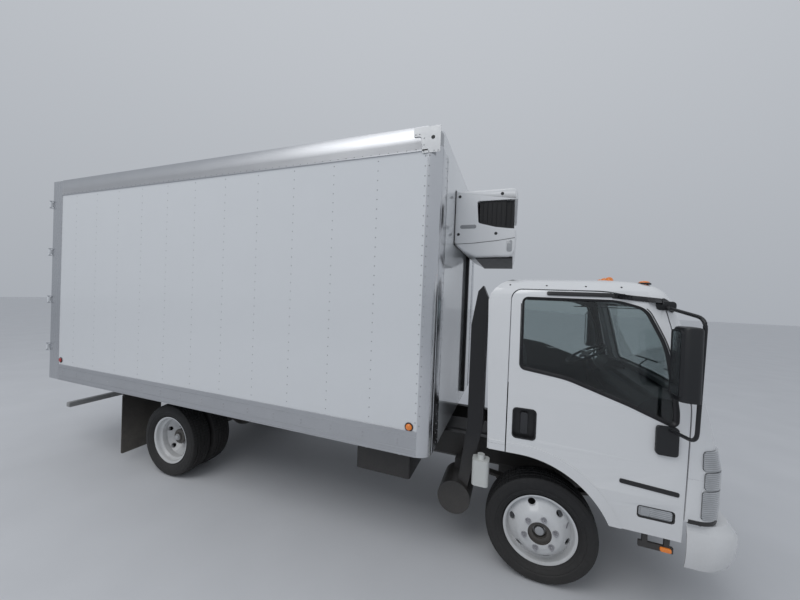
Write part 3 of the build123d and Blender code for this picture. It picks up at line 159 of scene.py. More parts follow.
def make_road_film():
    """Paint with cloudy patches and a film of dust that is gone above a height."""
    group, given, out = new_group(
        "road_film", {"Paint": (0.8, 0.8, 0.8, 1), "Dust": (0.34, 0.31, 0.27, 1), "Top": 1.0, "Amount": 0.3,
                      "Cloud": 0.05},
        {"Color": "NodeSocketColor", "Film": "NodeSocketFloat"})
    where = own_place(group)
    height = add_node(group, "SeparateXYZ", {0: where}).outputs["Z"]
    patches = noise(group, where, 4.0, 8.0, 0.65)
    specks = noise(group, where, 90.0, 3.0)
    fade = add_node(group, "MapRange", {"Value": height, "From Min": 0.0, "From Max": given["Top"],
                                                  "To Min": 1.0, "To Max": 0.0}).outputs[0]
    film = maths(group, "MULTIPLY", maths(group, "MULTIPLY", fade, given["Amount"]),
                 maths(group, "ADD", maths(group, "MULTIPLY", patches, patch_share),
                       maths(group, "MULTIPLY", specks, speck_share)))
    dark = add_node(group, "Mix", {0: 1.0, 6: given["Paint"], 7: clouded_tint},
                    data_type="RGBA", blend_type="MULTIPLY").outputs[2]
    clouded = mixed(group, maths(group, "MULTIPLY", patches, given["Cloud"]), given["Paint"], dark)
    fill(out, {"Color": mixed(group, film, clouded, given["Dust"]), "Film": film})
    return group


road_film = make_road_film()
print("group", road_film.name, "outputs", [s.name for s in road_film.interface.items_tree if s.in_out == "OUTPUT"])

# %% Build the skin, brushing and grain groups
speckle_share = 0.4


def make_sprayed_skin():
    """Height of sprayed paint: fine peel a few millimetres across, over slow waves of the sheet below."""
    group, given, out = new_group("sprayed_skin", {"Peel": 0.3, "Wave": 0.7, "Wave Scale": 2.0},
                                  {"Height": "NodeSocketFloat"})
    where = own_place(group)
    peel = maths(group, "MULTIPLY", noise(group, where, 260.0, 1.0), given["Peel"])
    wave = maths(group, "MULTIPLY", noise(group, where, given["Wave Scale"], 1.0), given["Wave"])
    fill(out, {"Height": maths(group, "ADD", peel, wave)})
    return group


def make_brushing():
    """Streaks along one axis: noise squeezed by three scales, across the grain much finer than along it."""
    group, given, out = new_group("brushing", {"X Scale": 4.0, "Y Scale": 400.0, "Z Scale": 400.0},
                                  {"Streaks": "NodeSocketFloat"})
    where = own_place(group)
    scales = add_node(group, "CombineXYZ", {0: given["X Scale"], 1: given["Y Scale"],
                                                      2: given["Z Scale"]}).outputs[0]
    squeezed = add_node(group, "VectorMath", {0: where, 1: scales}, operation="MULTIPLY").outputs[0]
    fill(out, {"Streaks": noise(group, squeezed, 1.0, 5.0, 0.7)})
    return group


def make_grain():
    """Grain of moulded plastic or cast metal: small cells with rounded edges, and a rough speckle."""
    group, given, out = new_group("grain", {"Scale": 700.0}, {"Height": "NodeSocketFloat",
                                                              "Speckle": "NodeSocketFloat"})
    where = own_place(group)
    cells = add_node(group, "TexVoronoi", {"Vector": where, "Scale": given["Scale"]},
                     feature="SMOOTH_F1").outputs["Distance"]
    speckle = noise(group, where, 30.0, 6.0)
    height = maths(group, "ADD", cells, maths(group, "MULTIPLY", speckle, speckle_share))
    fill(out, {"Height": height, "Speckle": speckle})
    return group


sprayed_skin = make_sprayed_skin()
brushing = make_brushing()
grain = make_grain()
print("groups", [g.name for g in bpy.data.node_groups])

# %% [markdown]
# ## Finishes
# The truck uses few kinds of surface, so each kind is one short function: sprayed paint under clear coat, drawn
# or brushed metal, moulded plastic and rubber, glass, ribbed lamp lenses, and seat cloth. Values that are the same
# all over a surface sit on the shader itself, and only what changes from place to place comes from the groups.

# %% Mix paint, metal and plastic
paint_peel, paint_bump, coat_roughness, dusty_rougher = 0.012, (0.35, 0.01), 0.04, 0.4
along_scale, across_scale, brush_cloud, brush_bump = 3.0, 300.0, 0.25, (0.12, 0.0006)
grain_cloud, grain_spread, grain_bump = 0.3, 0.12, 0.5


def new_material(colour, roughness, metallic=0.0):
    """Material with its node tree and its shader."""
    material = bpy.data.materials.new("finish")
    material.use_nodes = True
    shader = material.node_tree.nodes["Principled BSDF"]
    fill(shader, {"Base Color": (*colour, 1), "Roughness": roughness, "Metallic": metallic})
    return material, material.node_tree, shader


def add_film(tree, shader, colour, dust, top, cloud=0.06):
    """Colour through the road film; returns the film mask."""
    film = add_node(tree, "Group", {"Paint": (*colour, 1), "Amount": dust, "Top": top, "Cloud": cloud},
                    node_tree=road_film)
    fill(shader, {"Base Color": film.outputs["Color"]})
    return film.outputs["Film"]


def vary_roughness(tree, shader, mask, low, high):
    """Roughness from low to high where the mask goes from 0 to 1."""
    fill(shader, {"Roughness": add_node(tree, "MapRange", {"Value": mask, "To Min": low, "To Max": high}).outputs[0]})


def add_bump(tree, shader, height, strength, depth):
    """Relief from a height, up to a depth in metres."""
    bump = add_node(tree, "Bump", {"Height": height, "Strength": strength, "Distance": depth})
    fill(shader, {"Normal": bump.outputs["Normal"]})


def paint(colour, roughness=0.28, coat=1.0, wave=0.5, wave_scale=2.0, dust=0.25, top=1.1):
    """Sprayed paint: clear coat over colour, with peel, slow waves and dust low down."""
    material, tree, shader = new_material(colour, roughness)
    film = add_film(tree, shader, colour, dust, top)
    vary_roughness(tree, shader, film, roughness, roughness + dusty_rougher)
    skin = add_node(tree, "Group", {"Peel": paint_peel, "Wave": wave, "Wave Scale": wave_scale},
                    node_tree=sprayed_skin)
    add_bump(tree, shader, skin.outputs["Height"], *paint_bump)
    fill(shader, {"Coat Weight": coat, "Coat Roughness": coat_roughness})
    return material


def metal(colour, roughness=0.32, along="x", streak=0.14, dust=0.15, top=1.2):
    """Bare metal with streaks along one axis that change its roughness and lift its surface a little."""
    material, tree, shader = new_material(colour, roughness, 1.0)
    add_film(tree, shader, colour, dust, top, brush_cloud)
    brush = add_node(tree, "Group", {axis.upper() + " Scale": along_scale if axis == along else across_scale
                                     for axis in "xyz"}, node_tree=brushing)
    vary_roughness(tree, shader, brush.outputs["Streaks"], roughness - streak, roughness + streak)
    add_bump(tree, shader, brush.outputs["Streaks"], *brush_bump)
    return material


def plastic(colour, roughness=0.5, scale=700.0, depth=0.0004, dust=0.2, top=1.0, metallic=0.0):
    """Moulded plastic, rubber or cast metal: a fine grain with dust in it."""
    material, tree, shader = new_material(colour, roughness, metallic)
    add_film(tree, shader, colour, dust, top, grain_cloud)
    cells = add_node(tree, "Group", {"Scale": scale}, node_tree=grain)
    vary_roughness(tree, shader, cells.outputs["Speckle"], roughness - grain_spread, roughness + grain_spread)
    add_bump(tree, shader, cells.outputs["Height"], grain_bump, depth)
    return material


print("paint, metal and plastic are ready")

# %% Mix glass, lenses and cloth
bloom_rougher = 0.03
rib_shade, rib_bump, lens_coat_roughness = 0.45, (0.5, 0.002), 0.03
cloth_roughness, thread_scale, thread_light, weave_bump, cloth_sheen = 0.9, 180.0, 1.8, (0.4, 0.001), 0.3


def glass(colour, roughness=0.02):
    """Clear glass with a plain tint, and a faint bloom of dust that roughens it in patches."""
    material, tree, shader = new_material(colour, roughness)
    fill(shader, {"Transmission Weight": 1.0, "IOR": 1.45})
    bloom = noise(tree, own_place(tree), 5.0, 6.0)
    vary_roughness(tree, shader, bloom, roughness, roughness + bloom_rougher)
    return material


def lens(colour, rib_axis="Z", rib_scale=60.0, metallic=0.35, roughness=0.12, glow=0.0):
    """Lamp lens over a bright reflector: coloured body, mirror backing and moulded ribs under a hard coat, with painted
    shade in the ribs' troughs.
    """
    material, tree, shader = new_material(colour, roughness, metallic)
    where = own_place(tree)
    ribs = add_node(tree, "TexWave", {"Vector": where, "Scale": rib_scale}, bands_direction=rib_axis,
                    wave_profile="SIN").outputs["Fac"]
    # Painted shade: the colour falls to a deep tone in the ribs' troughs, in patches.
    shaded = maths(tree, "MULTIPLY", ribs, noise(tree, where, 14.0, 3.0))
    deep = tuple(rib_shade * c for c in colour)
    add_bump(tree, shader, ribs, *rib_bump)
    fill(shader, {"Base Color": mixed(tree, shaded, (*deep, 1), (*colour, 1)), "Coat Weight": 1.0,
                  "Coat Roughness": lens_coat_roughness})
    if glow:
        fill(shader, {"Emission Color": (*colour, 1), "Emission Strength": glow})
    return material


def cloth(colour):
    """Seat cloth: two crossing weaves of fine threads, matt and slightly worn."""
    material, tree, shader = new_material(colour, cloth_roughness)
    where = own_place(tree)
    weft, warp = (add_node(tree, "TexWave", {"Vector": where, "Scale": thread_scale},
                           bands_direction=axis).outputs["Fac"] for axis in "YX")
    weave = maths(tree, "MULTIPLY", weft, warp)
    pale = tuple(min(1.0, thread_light * c) for c in colour)
    add_bump(tree, shader, weave, *weave_bump)
    fill(shader, {"Base Color": mixed(tree, weave, (*colour, 1), (*pale, 1)), "Sheen Weight": cloth_sheen})
    return material


print("glass, lens and cloth are ready")

# %% [markdown]
# ## One material for each slot
# The record names a slot for every solid piece. Each slot is looked at in the photograph and given its own finish
# here: the cab's paint is smooth and glossy, the body's side sheets are as glossy but wavy, the rails are drawn
# aluminium with streaks along them, and the posts are polished steel with streaks that run up.

# %% Fill the slots
near_white = (0.78, 0.79, 0.80)
slots = {
    "cab_white": paint(near_white, 0.22, wave=0.12),
    "bumper_white": paint((0.76, 0.77, 0.78), 0.3, wave=0.15, dust=0.35),
    "box_white": paint((0.74, 0.76, 0.78), 0.16, wave=0.9, wave_scale=2.6, dust=0.12, top=1.5),
    "unit_white": paint((0.77, 0.78, 0.79), 0.35, coat=0.4, wave=0.1, dust=0.0),
    "wheel_white": paint((0.72, 0.74, 0.76), 0.35, coat=0.6, wave=0.05, dust=0.55, top=0.9),
    "bottle_white": plastic((0.7, 0.72, 0.7), 0.4, 90.0, 0.0008, 0.4),
    "rail_aluminium": metal((0.58, 0.59, 0.61), 0.42, "x"),
    "post_steel": metal((0.72, 0.73, 0.75), 0.22, "z", 0.1),
    "rear_steel": metal((0.6, 0.61, 0.63), 0.26, "z", 0.1),
    "bar_steel": metal((0.55, 0.55, 0.57), 0.3, "z"),
    "cast_steel": plastic((0.56, 0.57, 0.58), 0.42, 240.0, 0.0005, 0.1, metallic=0.9),
    "tank_aluminium": metal((0.6, 0.6, 0.62), 0.3, "y"),
    "floor_aluminium": metal((0.5, 0.5, 0.52), 0.4, "x"),
    "exhaust_steel": metal((0.3, 0.28, 0.26), 0.5, "x", dust=0.5),
    "bar_grey": paint((0.3, 0.31, 0.32), 0.45, coat=0.0, dust=0.5),
    "frame_black": plastic((0.016, 0.016, 0.018), 0.45, 300.0, 0.0004, 0.4),
    "spring_steel": plastic((0.03, 0.03, 0.032), 0.55, 200.0, 0.0005, 0.5),
    "engine_iron": plastic((0.1, 0.1, 0.105), 0.6, 120.0, 0.001, 0.4),
    "knuckle_iron": plastic((0.05, 0.05, 0.052), 0.6, 150.0, 0.0008, 0.5),
    "black_plastic": plastic((0.014, 0.014, 0.016), 0.42, 500.0, 0.0005, 0.25),
    "mirror_black": plastic((0.012, 0.013, 0.015), 0.4, 900.0, 0.0003, 0.02),
    "grille_black": plastic((0.01, 0.01, 0.011), 0.5, 400.0, 0.0004, 0.0),
    "flap_rubber": plastic((0.015, 0.015, 0.016), 0.62, 160.0, 0.001, 0.5),
    "tyre": plastic((0.011, 0.011, 0.012), 0.68, 420.0, 0.0006, 0.07, 0.8),
    "dash_plastic": plastic((0.035, 0.036, 0.04), 0.55, 500.0, 0.0005, 0.0),
    "seat_fabric": cloth((0.05, 0.052, 0.06)),
    "cab_glass": glass((0.62, 0.68, 0.68)),
    "lamp_clear": lens((0.72, 0.74, 0.76), "Z", 26.0),
    "lamp_amber": lens((0.95, 0.26, 0.02), "Z", 90.0, 0.0, glow=0.25),
    "lamp_red": lens((0.55, 0.012, 0.012), "Y", 60.0, 0.0, glow=0.1),
}
for name, material in slots.items():
    material.name = name
for name, node in nodes.items():
    node.data.materials.clear()
    node.data.materials.append(slots[slot_of[name]])
print("slots filled", len(slots), "unused", sorted(set(slots) - set(slot_of.values())))

# %% [markdown]
# ## Dressed copies
# A solid model's mesh is loose triangles, so light breaks on every one of them. For each glossy panel a merged copy
# stands in: its doubles are welded, flat triangles are joined, round stretches are shaded smooth, and a narrow bevel
# catches the light along the edges, as folded sheet and moulded plastic do. The copy keeps the solid's exact place.

# %% Make, weld and dress pieces
weld_gap = 0.00002
flat_angle = math.radians(0.4)
bevel_above = math.radians(40)


def make_piece(name, builder, body, slot, also=(), smooth=32, turn_out=True):
    """Object from a bmesh at its place, riding a body, with its slot's material first and others after it."""
    if turn_out:
        bmesh.ops.recalc_face_normals(builder, faces=builder.faces)
    mesh = bpy.data.meshes.new(name)
    builder.to_mesh(mesh)
    builder.free()
    for key in (slot, *also):
        mesh.materials.append(slots[key])
    mesh.polygons.foreach_set("use_smooth", [True] * len(mesh.polygons))
    mesh.set_sharp_from_angle(angle=math.radians(smooth))
    piece = bpy.data.objects.new(name, mesh)
    scene.collection.objects.link(piece)
    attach(piece, body)
    return piece


def welded(name):
    """A CAD node's mesh as a bmesh with its loose triangles merged and its flat stretches joined."""
    builder = bmesh.new()
    builder.from_mesh(nodes[name].data)
    bmesh.ops.remove_doubles(builder, verts=builder.verts, dist=weld_gap)
    bmesh.ops.dissolve_limit(builder, angle_limit=flat_angle, verts=builder.verts, edges=builder.edges)
    return builder


def round_edges(piece, width):
    """Narrow live bevel on the sharp edges of a piece."""
    bevel = piece.modifiers.new("round_edges", "BEVEL")
    bevel.width = width
    bevel.segments = 2
    bevel.limit_method = "ANGLE"
    bevel.angle_limit = bevel_above
    bevel.harden_normals = True


def dress(name, width=0.0, also=(), choose=None):
    """Merged, smooth-shaded stand-in for a CAD node. choose(face) gives a face's material number."""
    builder = welded(name)
    if choose:
        for face in builder.faces:
            face.material_index = choose(face)
    piece = make_piece(name + ".dressed", builder, body_of[name], slot_of[name], also, turn_out=False)
    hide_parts(name)
    if width:
        round_edges(piece, width)


print("welds", weld_gap, "m; edges sharper than", round(math.degrees(bevel_above)), "degrees get a bevel")

# %% [markdown]
# ## Places and small shapes
# Bolts, plates, frames, rings and bars come back all over a truck. Each could be modelled where it sits, but it is
# simpler to model it once, flat on local z = 0, and to carry it to its place with a matrix. The places face out of a
# flank, ahead, behind or up, and all of them count x from the front axle, as a workshop drawing does. One head can
# then be copied to hundreds of places as a single mesh, which keeps the scene light.

# %% Name the places on the truck
def spot(x, y, height):
    """Point x ahead of the front axle."""
    return Vector((axle_x + x, y, height))


def at(rows, x, y, height):
    """Place at a spot, with its local axes in the columns of three rows."""
    return Matrix.Translation(spot(x, y, height)) @ Matrix(rows).to_4x4()


def on_side(x, out, height, hand, turn=0.0):
    """Place on a flank: local x runs along the truck, y up and z out from it."""
    return at(((-hand, 0, 0), (0, 0, hand), (0, 1, 0)), x, hand * out, height) @ Matrix.Rotation(turn, 4, "Z")


def on_front(x, y, height):
    """Place facing forward: local x runs to the left, y up and z ahead."""
    return at(((0, 0, 1), (1, 0, 0), (0, 1, 0)), x, y, height)


def on_back(x, y, height):
    """Place facing back: local x runs to the right, y up and z behind."""
    return at(((0, 0, -1), (-1, 0, 0), (0, 1, 0)), x, y, height)


def on_top(x, y, height):
    """Place facing up."""
    return at(((1, 0, 0), (0, 1, 0), (0, 0, 1)), x, y, height)


print("places face", [place.__name__[3:] for place in (on_side, on_front, on_back, on_top)])

# %% Carry, copy and gather meshes
def placed(builder, place):
    """A bmesh carried to its place."""
    bmesh.ops.transform(builder, matrix=place, verts=builder.verts)
    return builder


def merged(*builders):
    """Several bmeshes in one."""
    whole = builders[0]
    for other in builders[1:]:
        mesh = bpy.data.meshes.new("gathered")
        other.to_mesh(mesh)
        other.free()
        whole.from_mesh(mesh)
        bpy.data.meshes.remove(mesh)
    return whole


def joined(small, places):
    """One bmesh with a copy of a small one at every place."""
    stamp = bpy.data.meshes.new("stamp")
    small.to_mesh(stamp)
    small.free()
    whole = bmesh.new()
    for place in places:
        copy = stamp.copy()
        copy.transform(place)
        whole.from_mesh(copy)
        bpy.data.meshes.remove(copy)
    bpy.data.meshes.remove(stamp)
    return whole


def pull(builder, faces, offset):
    """Pull faces along an offset, with walls behind them."""
    made = bmesh.ops.extrude_face_region(builder, geom=faces)["geom"]
    bmesh.ops.translate(builder, vec=offset, verts=[v for v in made if isinstance(v, bmesh.types.BMVert)])


def aside(outs, side):
    """Two distances from the centre line as a span of y on one side."""
    return sorted(side * out for out in outs)


def steps(start, stop, pitch):
    """Evenly spaced places from start to stop, as near to the pitch as fits."""
    count = max(1, round(abs(stop - start) / pitch))
    return [start + (stop - start) * n / count for n in range(count + 1)]


print("seven gaps of 0.14 in a metre:", [round(x, 2) for x in steps(0, 1, 0.14)])

# %% Shape heads, plates and rings
weld = 0.00001
corner_segments = 5
washer_wider, washer_share, nut_taper = 1.35, 0.25, 0.94


def ease(builder, edges, width, segments=2, affect="EDGES"):
    """Round edges or corners off."""
    bmesh.ops.bevel(builder, geom=edges, offset=width, segments=segments, profile=0.5, affect=affect, material=-1)


def stud(radius, height, segments=8, taper=0.7):
    """Low dome or bolt head standing on local z = 0."""
    builder = bmesh.new()
    bmesh.ops.create_cone(builder, cap_ends=True, segments=segments, radius1=radius, radius2=radius * taper,
                          depth=height, matrix=Matrix.Translation((0, 0, height / 2)))
    return builder


def bolt(radius, height):
    """Hexagon head on a round washer."""
    washer = stud(radius * washer_wider, height * washer_share, 16, 0.95)
    return merged(washer, stud(radius, height, 6, nut_taper))


def rounded_sheet(width, height, corner):
    """Flat face on local z = 0 with round corners."""
    builder = bmesh.new()
    bmesh.ops.create_grid(builder, x_segments=1, y_segments=1, size=0.5, matrix=Matrix.Diagonal((width, height, 1, 1)))
    ease(builder, builder.verts[:], corner, corner_segments, "VERTICES")
    return builder


def plate(width, height, depth, corner, edge=0.001, cuts=0):
    """Rounded plate with an eased front rim, and cuts across it where it has to bend."""
    builder = rounded_sheet(width, height, corner)
    pull(builder, builder.faces[:], (0, 0, depth))
    if edge:
        ease(builder, [e for e in builder.edges if all(v.co.z > depth / 2 for v in e.verts)], edge)
    for n in range(cuts):
        line = (n + 1) / (cuts + 1) - 0.5
        bmesh.ops.bisect_plane(builder, geom=builder.verts[:] + builder.edges[:] + builder.faces[:],
                               plane_co=(width * line, 0, 0), plane_no=(1, 0, 0))
    return builder


def frame_ring(width, height, depth, corner, band):
    """Rounded plate whose middle is open, with walls all round."""
    builder = rounded_sheet(width, height, corner)
    middle = builder.faces[:]
    bmesh.ops.inset_region(builder, faces=middle, thickness=band, use_even_offset=True, use_boundary=True)
    bmesh.ops.delete(builder, geom=middle, context="FACES")
    pull(builder, builder.faces[:], (0, 0, depth))
    return builder


def spun(builder, line, edges, axis, segments):
    """Spin a line of vertices a full turn about an axis through the origin and close the seam."""
    bmesh.ops.spin(builder, geom=line + edges, cent=(0, 0, 0), axis=axis, angle=math.tau, steps=segments,
                   use_merge=True, use_duplicate=False)
    bmesh.ops.remove_doubles(builder, verts=builder.verts, dist=weld)


def turned(profile, place, segments=32):
    """Closed ring or disc from a profile of (radius, height) points turned about local z."""
    builder = bmesh.new()
    line = [builder.verts.new((radius, 0, height)) for radius, height in profile]
    spun(builder, line, [builder.edges.new(pair) for pair in zip(line, line[1:])], (0, 0, 1), segments)
    return placed(builder, place)


print("heads, plates and rings are ready")

# %% Shape bars and outlines
bend_cuts, bend_share = 6, 0.45
sideways = Vector((0.13, 0.31, 1))


def walled(builder, rings, closed=False):
    """Walls between neighbouring rings of vertices; both ends are closed unless the last ring meets the first."""
    for ring, following in zip(rings, rings[1:] + rings[:1] if closed else rings[1:]):
        for corners in zip(ring, ring[1:] + ring[:1], following[1:] + following[:1], following):
            builder.faces.new(corners)
    for end in () if closed else (rings[0], rings[-1]):
        builder.faces.new(end)
    return builder


def pipe(points, radius, facets=10):
    """Round bar along a line of points, closed at both ends."""
    builder = bmesh.new()
    points = [Vector(p) for p in points]
    rings = []
    for point, back, ahead in zip(points, points[:1] + points, points[1:] + points[-1:]):
        along = (ahead - back).normalized()
        across = along.cross(sideways).normalized()
        up = across.cross(along)
        rings.append([builder.verts.new(point + radius * (math.cos(a) * across + math.sin(a) * up))
                      for a in (math.tau * k / facets for k in range(facets))])
    return walled(builder, rings)


def eased(start, corner, end):
    """Points of a bend from start to end that leans on a corner."""
    return [start * (1 - t) ** 2 + corner * 2 * t * (1 - t) + end * t ** 2
            for t in (n / bend_cuts for n in range(bend_cuts + 1))]


def rounded_outline(outline):
    """Points of a closed outline in the side view, given as x, height and the radius of each corner."""
    points = []
    for i, (x, z, radius) in enumerate(outline):
        here = Vector((x, z))
        back = Vector(outline[i - 1][:2]) - here
        ahead = Vector(outline[(i + 1) % len(outline)][:2]) - here
        if radius == 0:
            points.append(here)
            continue
        longest = min(back.length, ahead.length) * bend_share
        reach = min(radius / math.tan(back.angle(ahead) / 2), longest)
        points += eased(here + back.normalized() * reach, here, here + ahead.normalized() * reach)
    return points


def pulled_across(outline, low, high):
    """A rounded outline in the side view, pulled across the truck from one distance to another."""
    builder = bmesh.new()
    face = builder.faces.new([builder.verts.new(spot(p.x, low, p.y)) for p in rounded_outline(outline)])
    pull(builder, [face], (0, high - low, 0))
    return builder


def block(x_span, y_span, z_span):
    """Box between spans, x ahead of the front axle."""
    builder = bmesh.new()
    size = [b - a for a, b in (x_span, y_span, z_span)]
    middle = spot(*((a + b) / 2 for a, b in (x_span, y_span, z_span)))
    bmesh.ops.create_cube(builder, size=1, matrix=Matrix.Translation(middle) @ Matrix.Diagonal((*size, 1)))
    return builder


print("a bend has", bend_cuts + 1, "points")

# %% Find the skin to sit on
ray_start = 3


def skin_of(*names):
    """Skin of some CAD nodes that rays can be cast at."""
    builder = bmesh.new()
    for name in names:
        builder.from_mesh(nodes[name].data)
    tree = BVHTree.FromBMesh(builder)
    builder.free()
    return tree


def skin_out(skin, x, height, hand, fallback):
    """Distance from the centre line of the outermost skin at a point of the side view."""
    hit = skin.ray_cast(spot(x, hand * ray_start, height), Vector((0, -hand, 0)))[0]
    return fallback if hit is None else abs(hit.y)


def drape(builder, skin, hand, fallback=0.98):
    """Push a piece that was placed on a flank at out = 0 onto the skin there, keeping its own depth."""
    for v in builder.verts:
        v.co.y += hand * skin_out(skin, v.co.x - axle_x, v.co.z, hand, fallback)
    return builder


print("box side stands out", round(skin_out(skin_of("box_sides"), -3.0, 2.0, 1, 0.0), 3))

# %% [markdown]
# ## Tyres
# A tyre is moulded in one piece: bead, bulged wall, shoulder, and a crown cut by four grooves round it into five
# ribs, each rib cut across into blocks. The wall carries shallow rings left by the mould. Here one section is
# turned about the axle in eighty steps, so that each step is one block, and then each rib face is inset and lifted.

# %% Draw the tyre's section
groove_half, groove_depth, block_rise, block_gap = 0.004, 0.010, 0.004, 0.0018
groove_places = (0.018, 0.055)
crown_radius, crown_round, shoulder_out, shoulder_ease = 0.398, 0.5059, 0.095, 0.002
# out from the middle of the tyre, radius: bead, bulged wall and mould rings up to the shoulder
tyre_wall = ((0.079, 0.248), (0.079, 0.2606), (0.0895, 0.2703), (0.0984, 0.2816), (0.0975, 0.2835),
             (0.1054, 0.2941), (0.1104, 0.3075), (0.1088, 0.3095), (0.1088, 0.3135), (0.1133, 0.3215),
             (0.1139, 0.3358), (0.1124, 0.3501), (0.1086, 0.3639), (0.1066, 0.3655), (0.1028, 0.377),
             (0.0955, 0.3865))


def crown(out):
    """Radius of the tread at a distance from the middle of the tyre."""
    return crown_radius - crown_round + math.sqrt(crown_round ** 2 - out ** 2)


def tyre_profile():
    """Points (out, radius) from the middle of the crown to the bead."""
    points = [(0.0, crown(0.0) - block_rise)]
    for groove in groove_places:
        near, far = groove - groove_half, groove + groove_half
        points += [(near, crown(near) - block_rise), (near, crown(near) - groove_depth),
                   (far, crown(far) - groove_depth), (far, crown(far) - block_rise)]
    points.append((shoulder_out - shoulder_ease, crown(shoulder_out) - block_rise))
    return points + list(reversed(tyre_wall))


print("half a tyre's section has", len(tyre_profile()), "points")

# %% Turn the tyres
tread_steps = 80
rib_slack, tread_smooth = 0.0005, 25
front_tyre_out = 0.825
rear_tyre_out = (0.698, 0.952)


def on_rib(face):
    """True for a face at the height of the ribs."""
    return all(abs(math.hypot(v.co.x, v.co.z) - crown(min(abs(v.co.y), shoulder_out)) + block_rise) < rib_slack
               for v in face.verts)


def make_tyre():
    """One tyre about the Y axis with its blocks raised."""
    half = tyre_profile()
    profile = [(-out, radius) for out, radius in reversed(half)] + half[1:]
    builder = bmesh.new()
    line = [builder.verts.new((0, out, radius)) for out, radius in profile]
    spun(builder, line, [builder.edges.new(pair) for pair in zip(line, line[1:] + line[:1])], (0, 1, 0), tread_steps)
    bmesh.ops.recalc_face_normals(builder, faces=builder.faces)
    bmesh.ops.inset_individual(builder, faces=[face for face in builder.faces if on_rib(face)], thickness=block_gap,
                               depth=block_rise, use_even_offset=True)
    return builder


def fit_tyres(node, centres):
    """Tyres at their distances from the centre line, standing in for a CAD node."""
    middle = sum(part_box(node), Vector()) / 2
    places = [Matrix.Translation((middle.x, y, middle.z)) for y in centres]
    piece = make_piece(f"{node}.tread", joined(make_tyre(), places), body_of[node], "tyre", smooth=tread_smooth)
    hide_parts(node)


for hand, side in sides.items():
    fit_tyres(f"front_tyre_{hand}", [side * front_tyre_out])
    fit_tyres(f"rear_tyres_{hand}", [side * out for out in rear_tyre_out])

# %% [markdown]
# ## Wheels
# The wheels are pressed steel, painted white, with rolled edges that catch the light. Their hubs are bare black
# iron. Six hexagon nuts on washers hold each disc, with the stud ends standing through them. The front hub is
# closed by a bright pressed cap, and a tyre valve leans out through one hand hole. A nut, a cap and a valve are
# modelled once and carried to each wheel.

# %% Dress the wheels
rim_edge = 0.0015
hub_radius = 0.0826
nut_circle, nut_turn, nut_count = 0.111, 17, 6
nut_radius, nut_height = 0.0165, 0.019
stud_radius, stud_length, stud_taper = 0.0095, 0.034, 0.9
# beyond a cap's radius, height: its foot flange, wall and rounded edge; then the flat face's share and height
cap_steps = ((0.006, 0.0), (0.006, 0.003), (0.0, 0.004), (-0.002, 0.016), (-0.006, 0.021))
cap_flat, cap_height = 0.4, 0.023
wheel_height = 0.398
rear_axle_x = -3.81
# from the hub and from the hand hole: ahead, out and up; then the valve's bends from its foot
valve_foot, valve_bends, valve_radius = (0.197, -0.06, 0.085), ((-0.012, 0.035, -0.006), (-0.02, 0.06, -0.01)), 0.0045
# name, x of the axle, face the nuts sit on, seat and radius of the cap, hand hole's distance out
wheel_sets = (("front_rim", 0.0, 0.952, (0.903, 0.0375), 0.93),
              ("rear_rims", rear_axle_x, 0.837, (0.951, 0.03), 0.96))


def hub_finish(hub_x):
    """Rule for a wheel's faces: 1 for the bare hub, 0 for the paint."""
    return lambda face: int(all(math.hypot(v.co.x - hub_x, v.co.z - wheel_height) < hub_radius for v in face.verts))


def wheel_nut():
    """Nut, its washer and the end of the stud."""
    return merged(bolt(nut_radius, nut_height), stud(stud_radius, stud_length, 10, stud_taper))


def cap_profile(radius):
    """Foot flange, wall and slightly domed face of a pressed hub cap."""
    return ([(radius + wider, height) for wider, height in cap_steps]
            + [(radius * cap_flat, cap_height), (0.0, cap_height)])


for hand, side in sides.items():
    for stem, x, face_out, (cap_seat, cap_radius), hole_out in wheel_sets:
        node = f"{stem}_{hand}"
        dress(node, rim_edge, ("frame_black",), hub_finish(axle_x + x))
        ring = [math.radians(nut_turn) + math.tau / nut_count * n for n in range(nut_count)]
        nuts = joined(wheel_nut(), [on_side(x + nut_circle * math.cos(a), face_out,
                                            wheel_height + nut_circle * math.sin(a), side, a) for a in ring])
        make_piece(f"{node}.nuts", nuts, body_of[node], "bar_steel")
        cap = turned(cap_profile(cap_radius), on_side(x, cap_seat, wheel_height, side))
        make_piece(f"{node}.cap", cap, body_of[node], "cast_steel")
        ahead, out, up = valve_foot
        foot = spot(x + ahead, side * (hole_out + out), wheel_height + up)
        valve = pipe([foot] + [foot + Vector((a, side * b, c)) for a, b, c in valve_bends], valve_radius, 8)
        make_piece(f"{node}.valve", valve, body_of[node], "bar_steel")
print("wheels dressed, nuts", nut_count * len(wheel_sets) * len(sides))

# %% [markdown]
# ## Cab shell
# The cab is pressed steel in gloss white, folded at every opening. Where the camera looks into it, behind the
# steps and inside the wheel arch, the steel is black with primer and road film; behind the front lid it is black as
# painted shade, so that the lid's slots look dark. The door has two moulded pockets let into it, one for the handle
# and one for the cornering lamp, both black inside. Through the windows everything is dark, so the floor carries a
# black mat and the inner side of each door a grey plastic trim.
# Painting each region as a piece of its own would leave seams, so a rule picks the material of every face instead.

# %% Choose the cab's finishes
arch_inside, arch_top, floor_low = 0.945, 0.99, 1.0
step_front = 0.82
lid_half, lid_low, lid_high, lid_round, lid_behind = 0.706, 0.794, 1.386, 0.066, 0.7
# middle x, middle height, width and height of the two pockets in the door's skin
handle_pocket = (-0.142, 1.210, 0.150, 0.212)
lamp_pocket = (0.678, 0.753, 0.206, 0.084)
pocket_slack = 0.001


# The lid's seat is made black as painted shade, so that the slots in the lid look dark.
def behind_lid(place):
    """Inside the rounded outline of the front lid's seat."""
    along = abs(place.y) - lid_half + lid_round
    up = abs(place.z - (lid_low + lid_high) / 2) - (lid_high - lid_low) / 2 + lid_round
    return place.x >= axle_x + lid_behind and math.hypot(max(along, 0), max(up, 0)) < lid_round


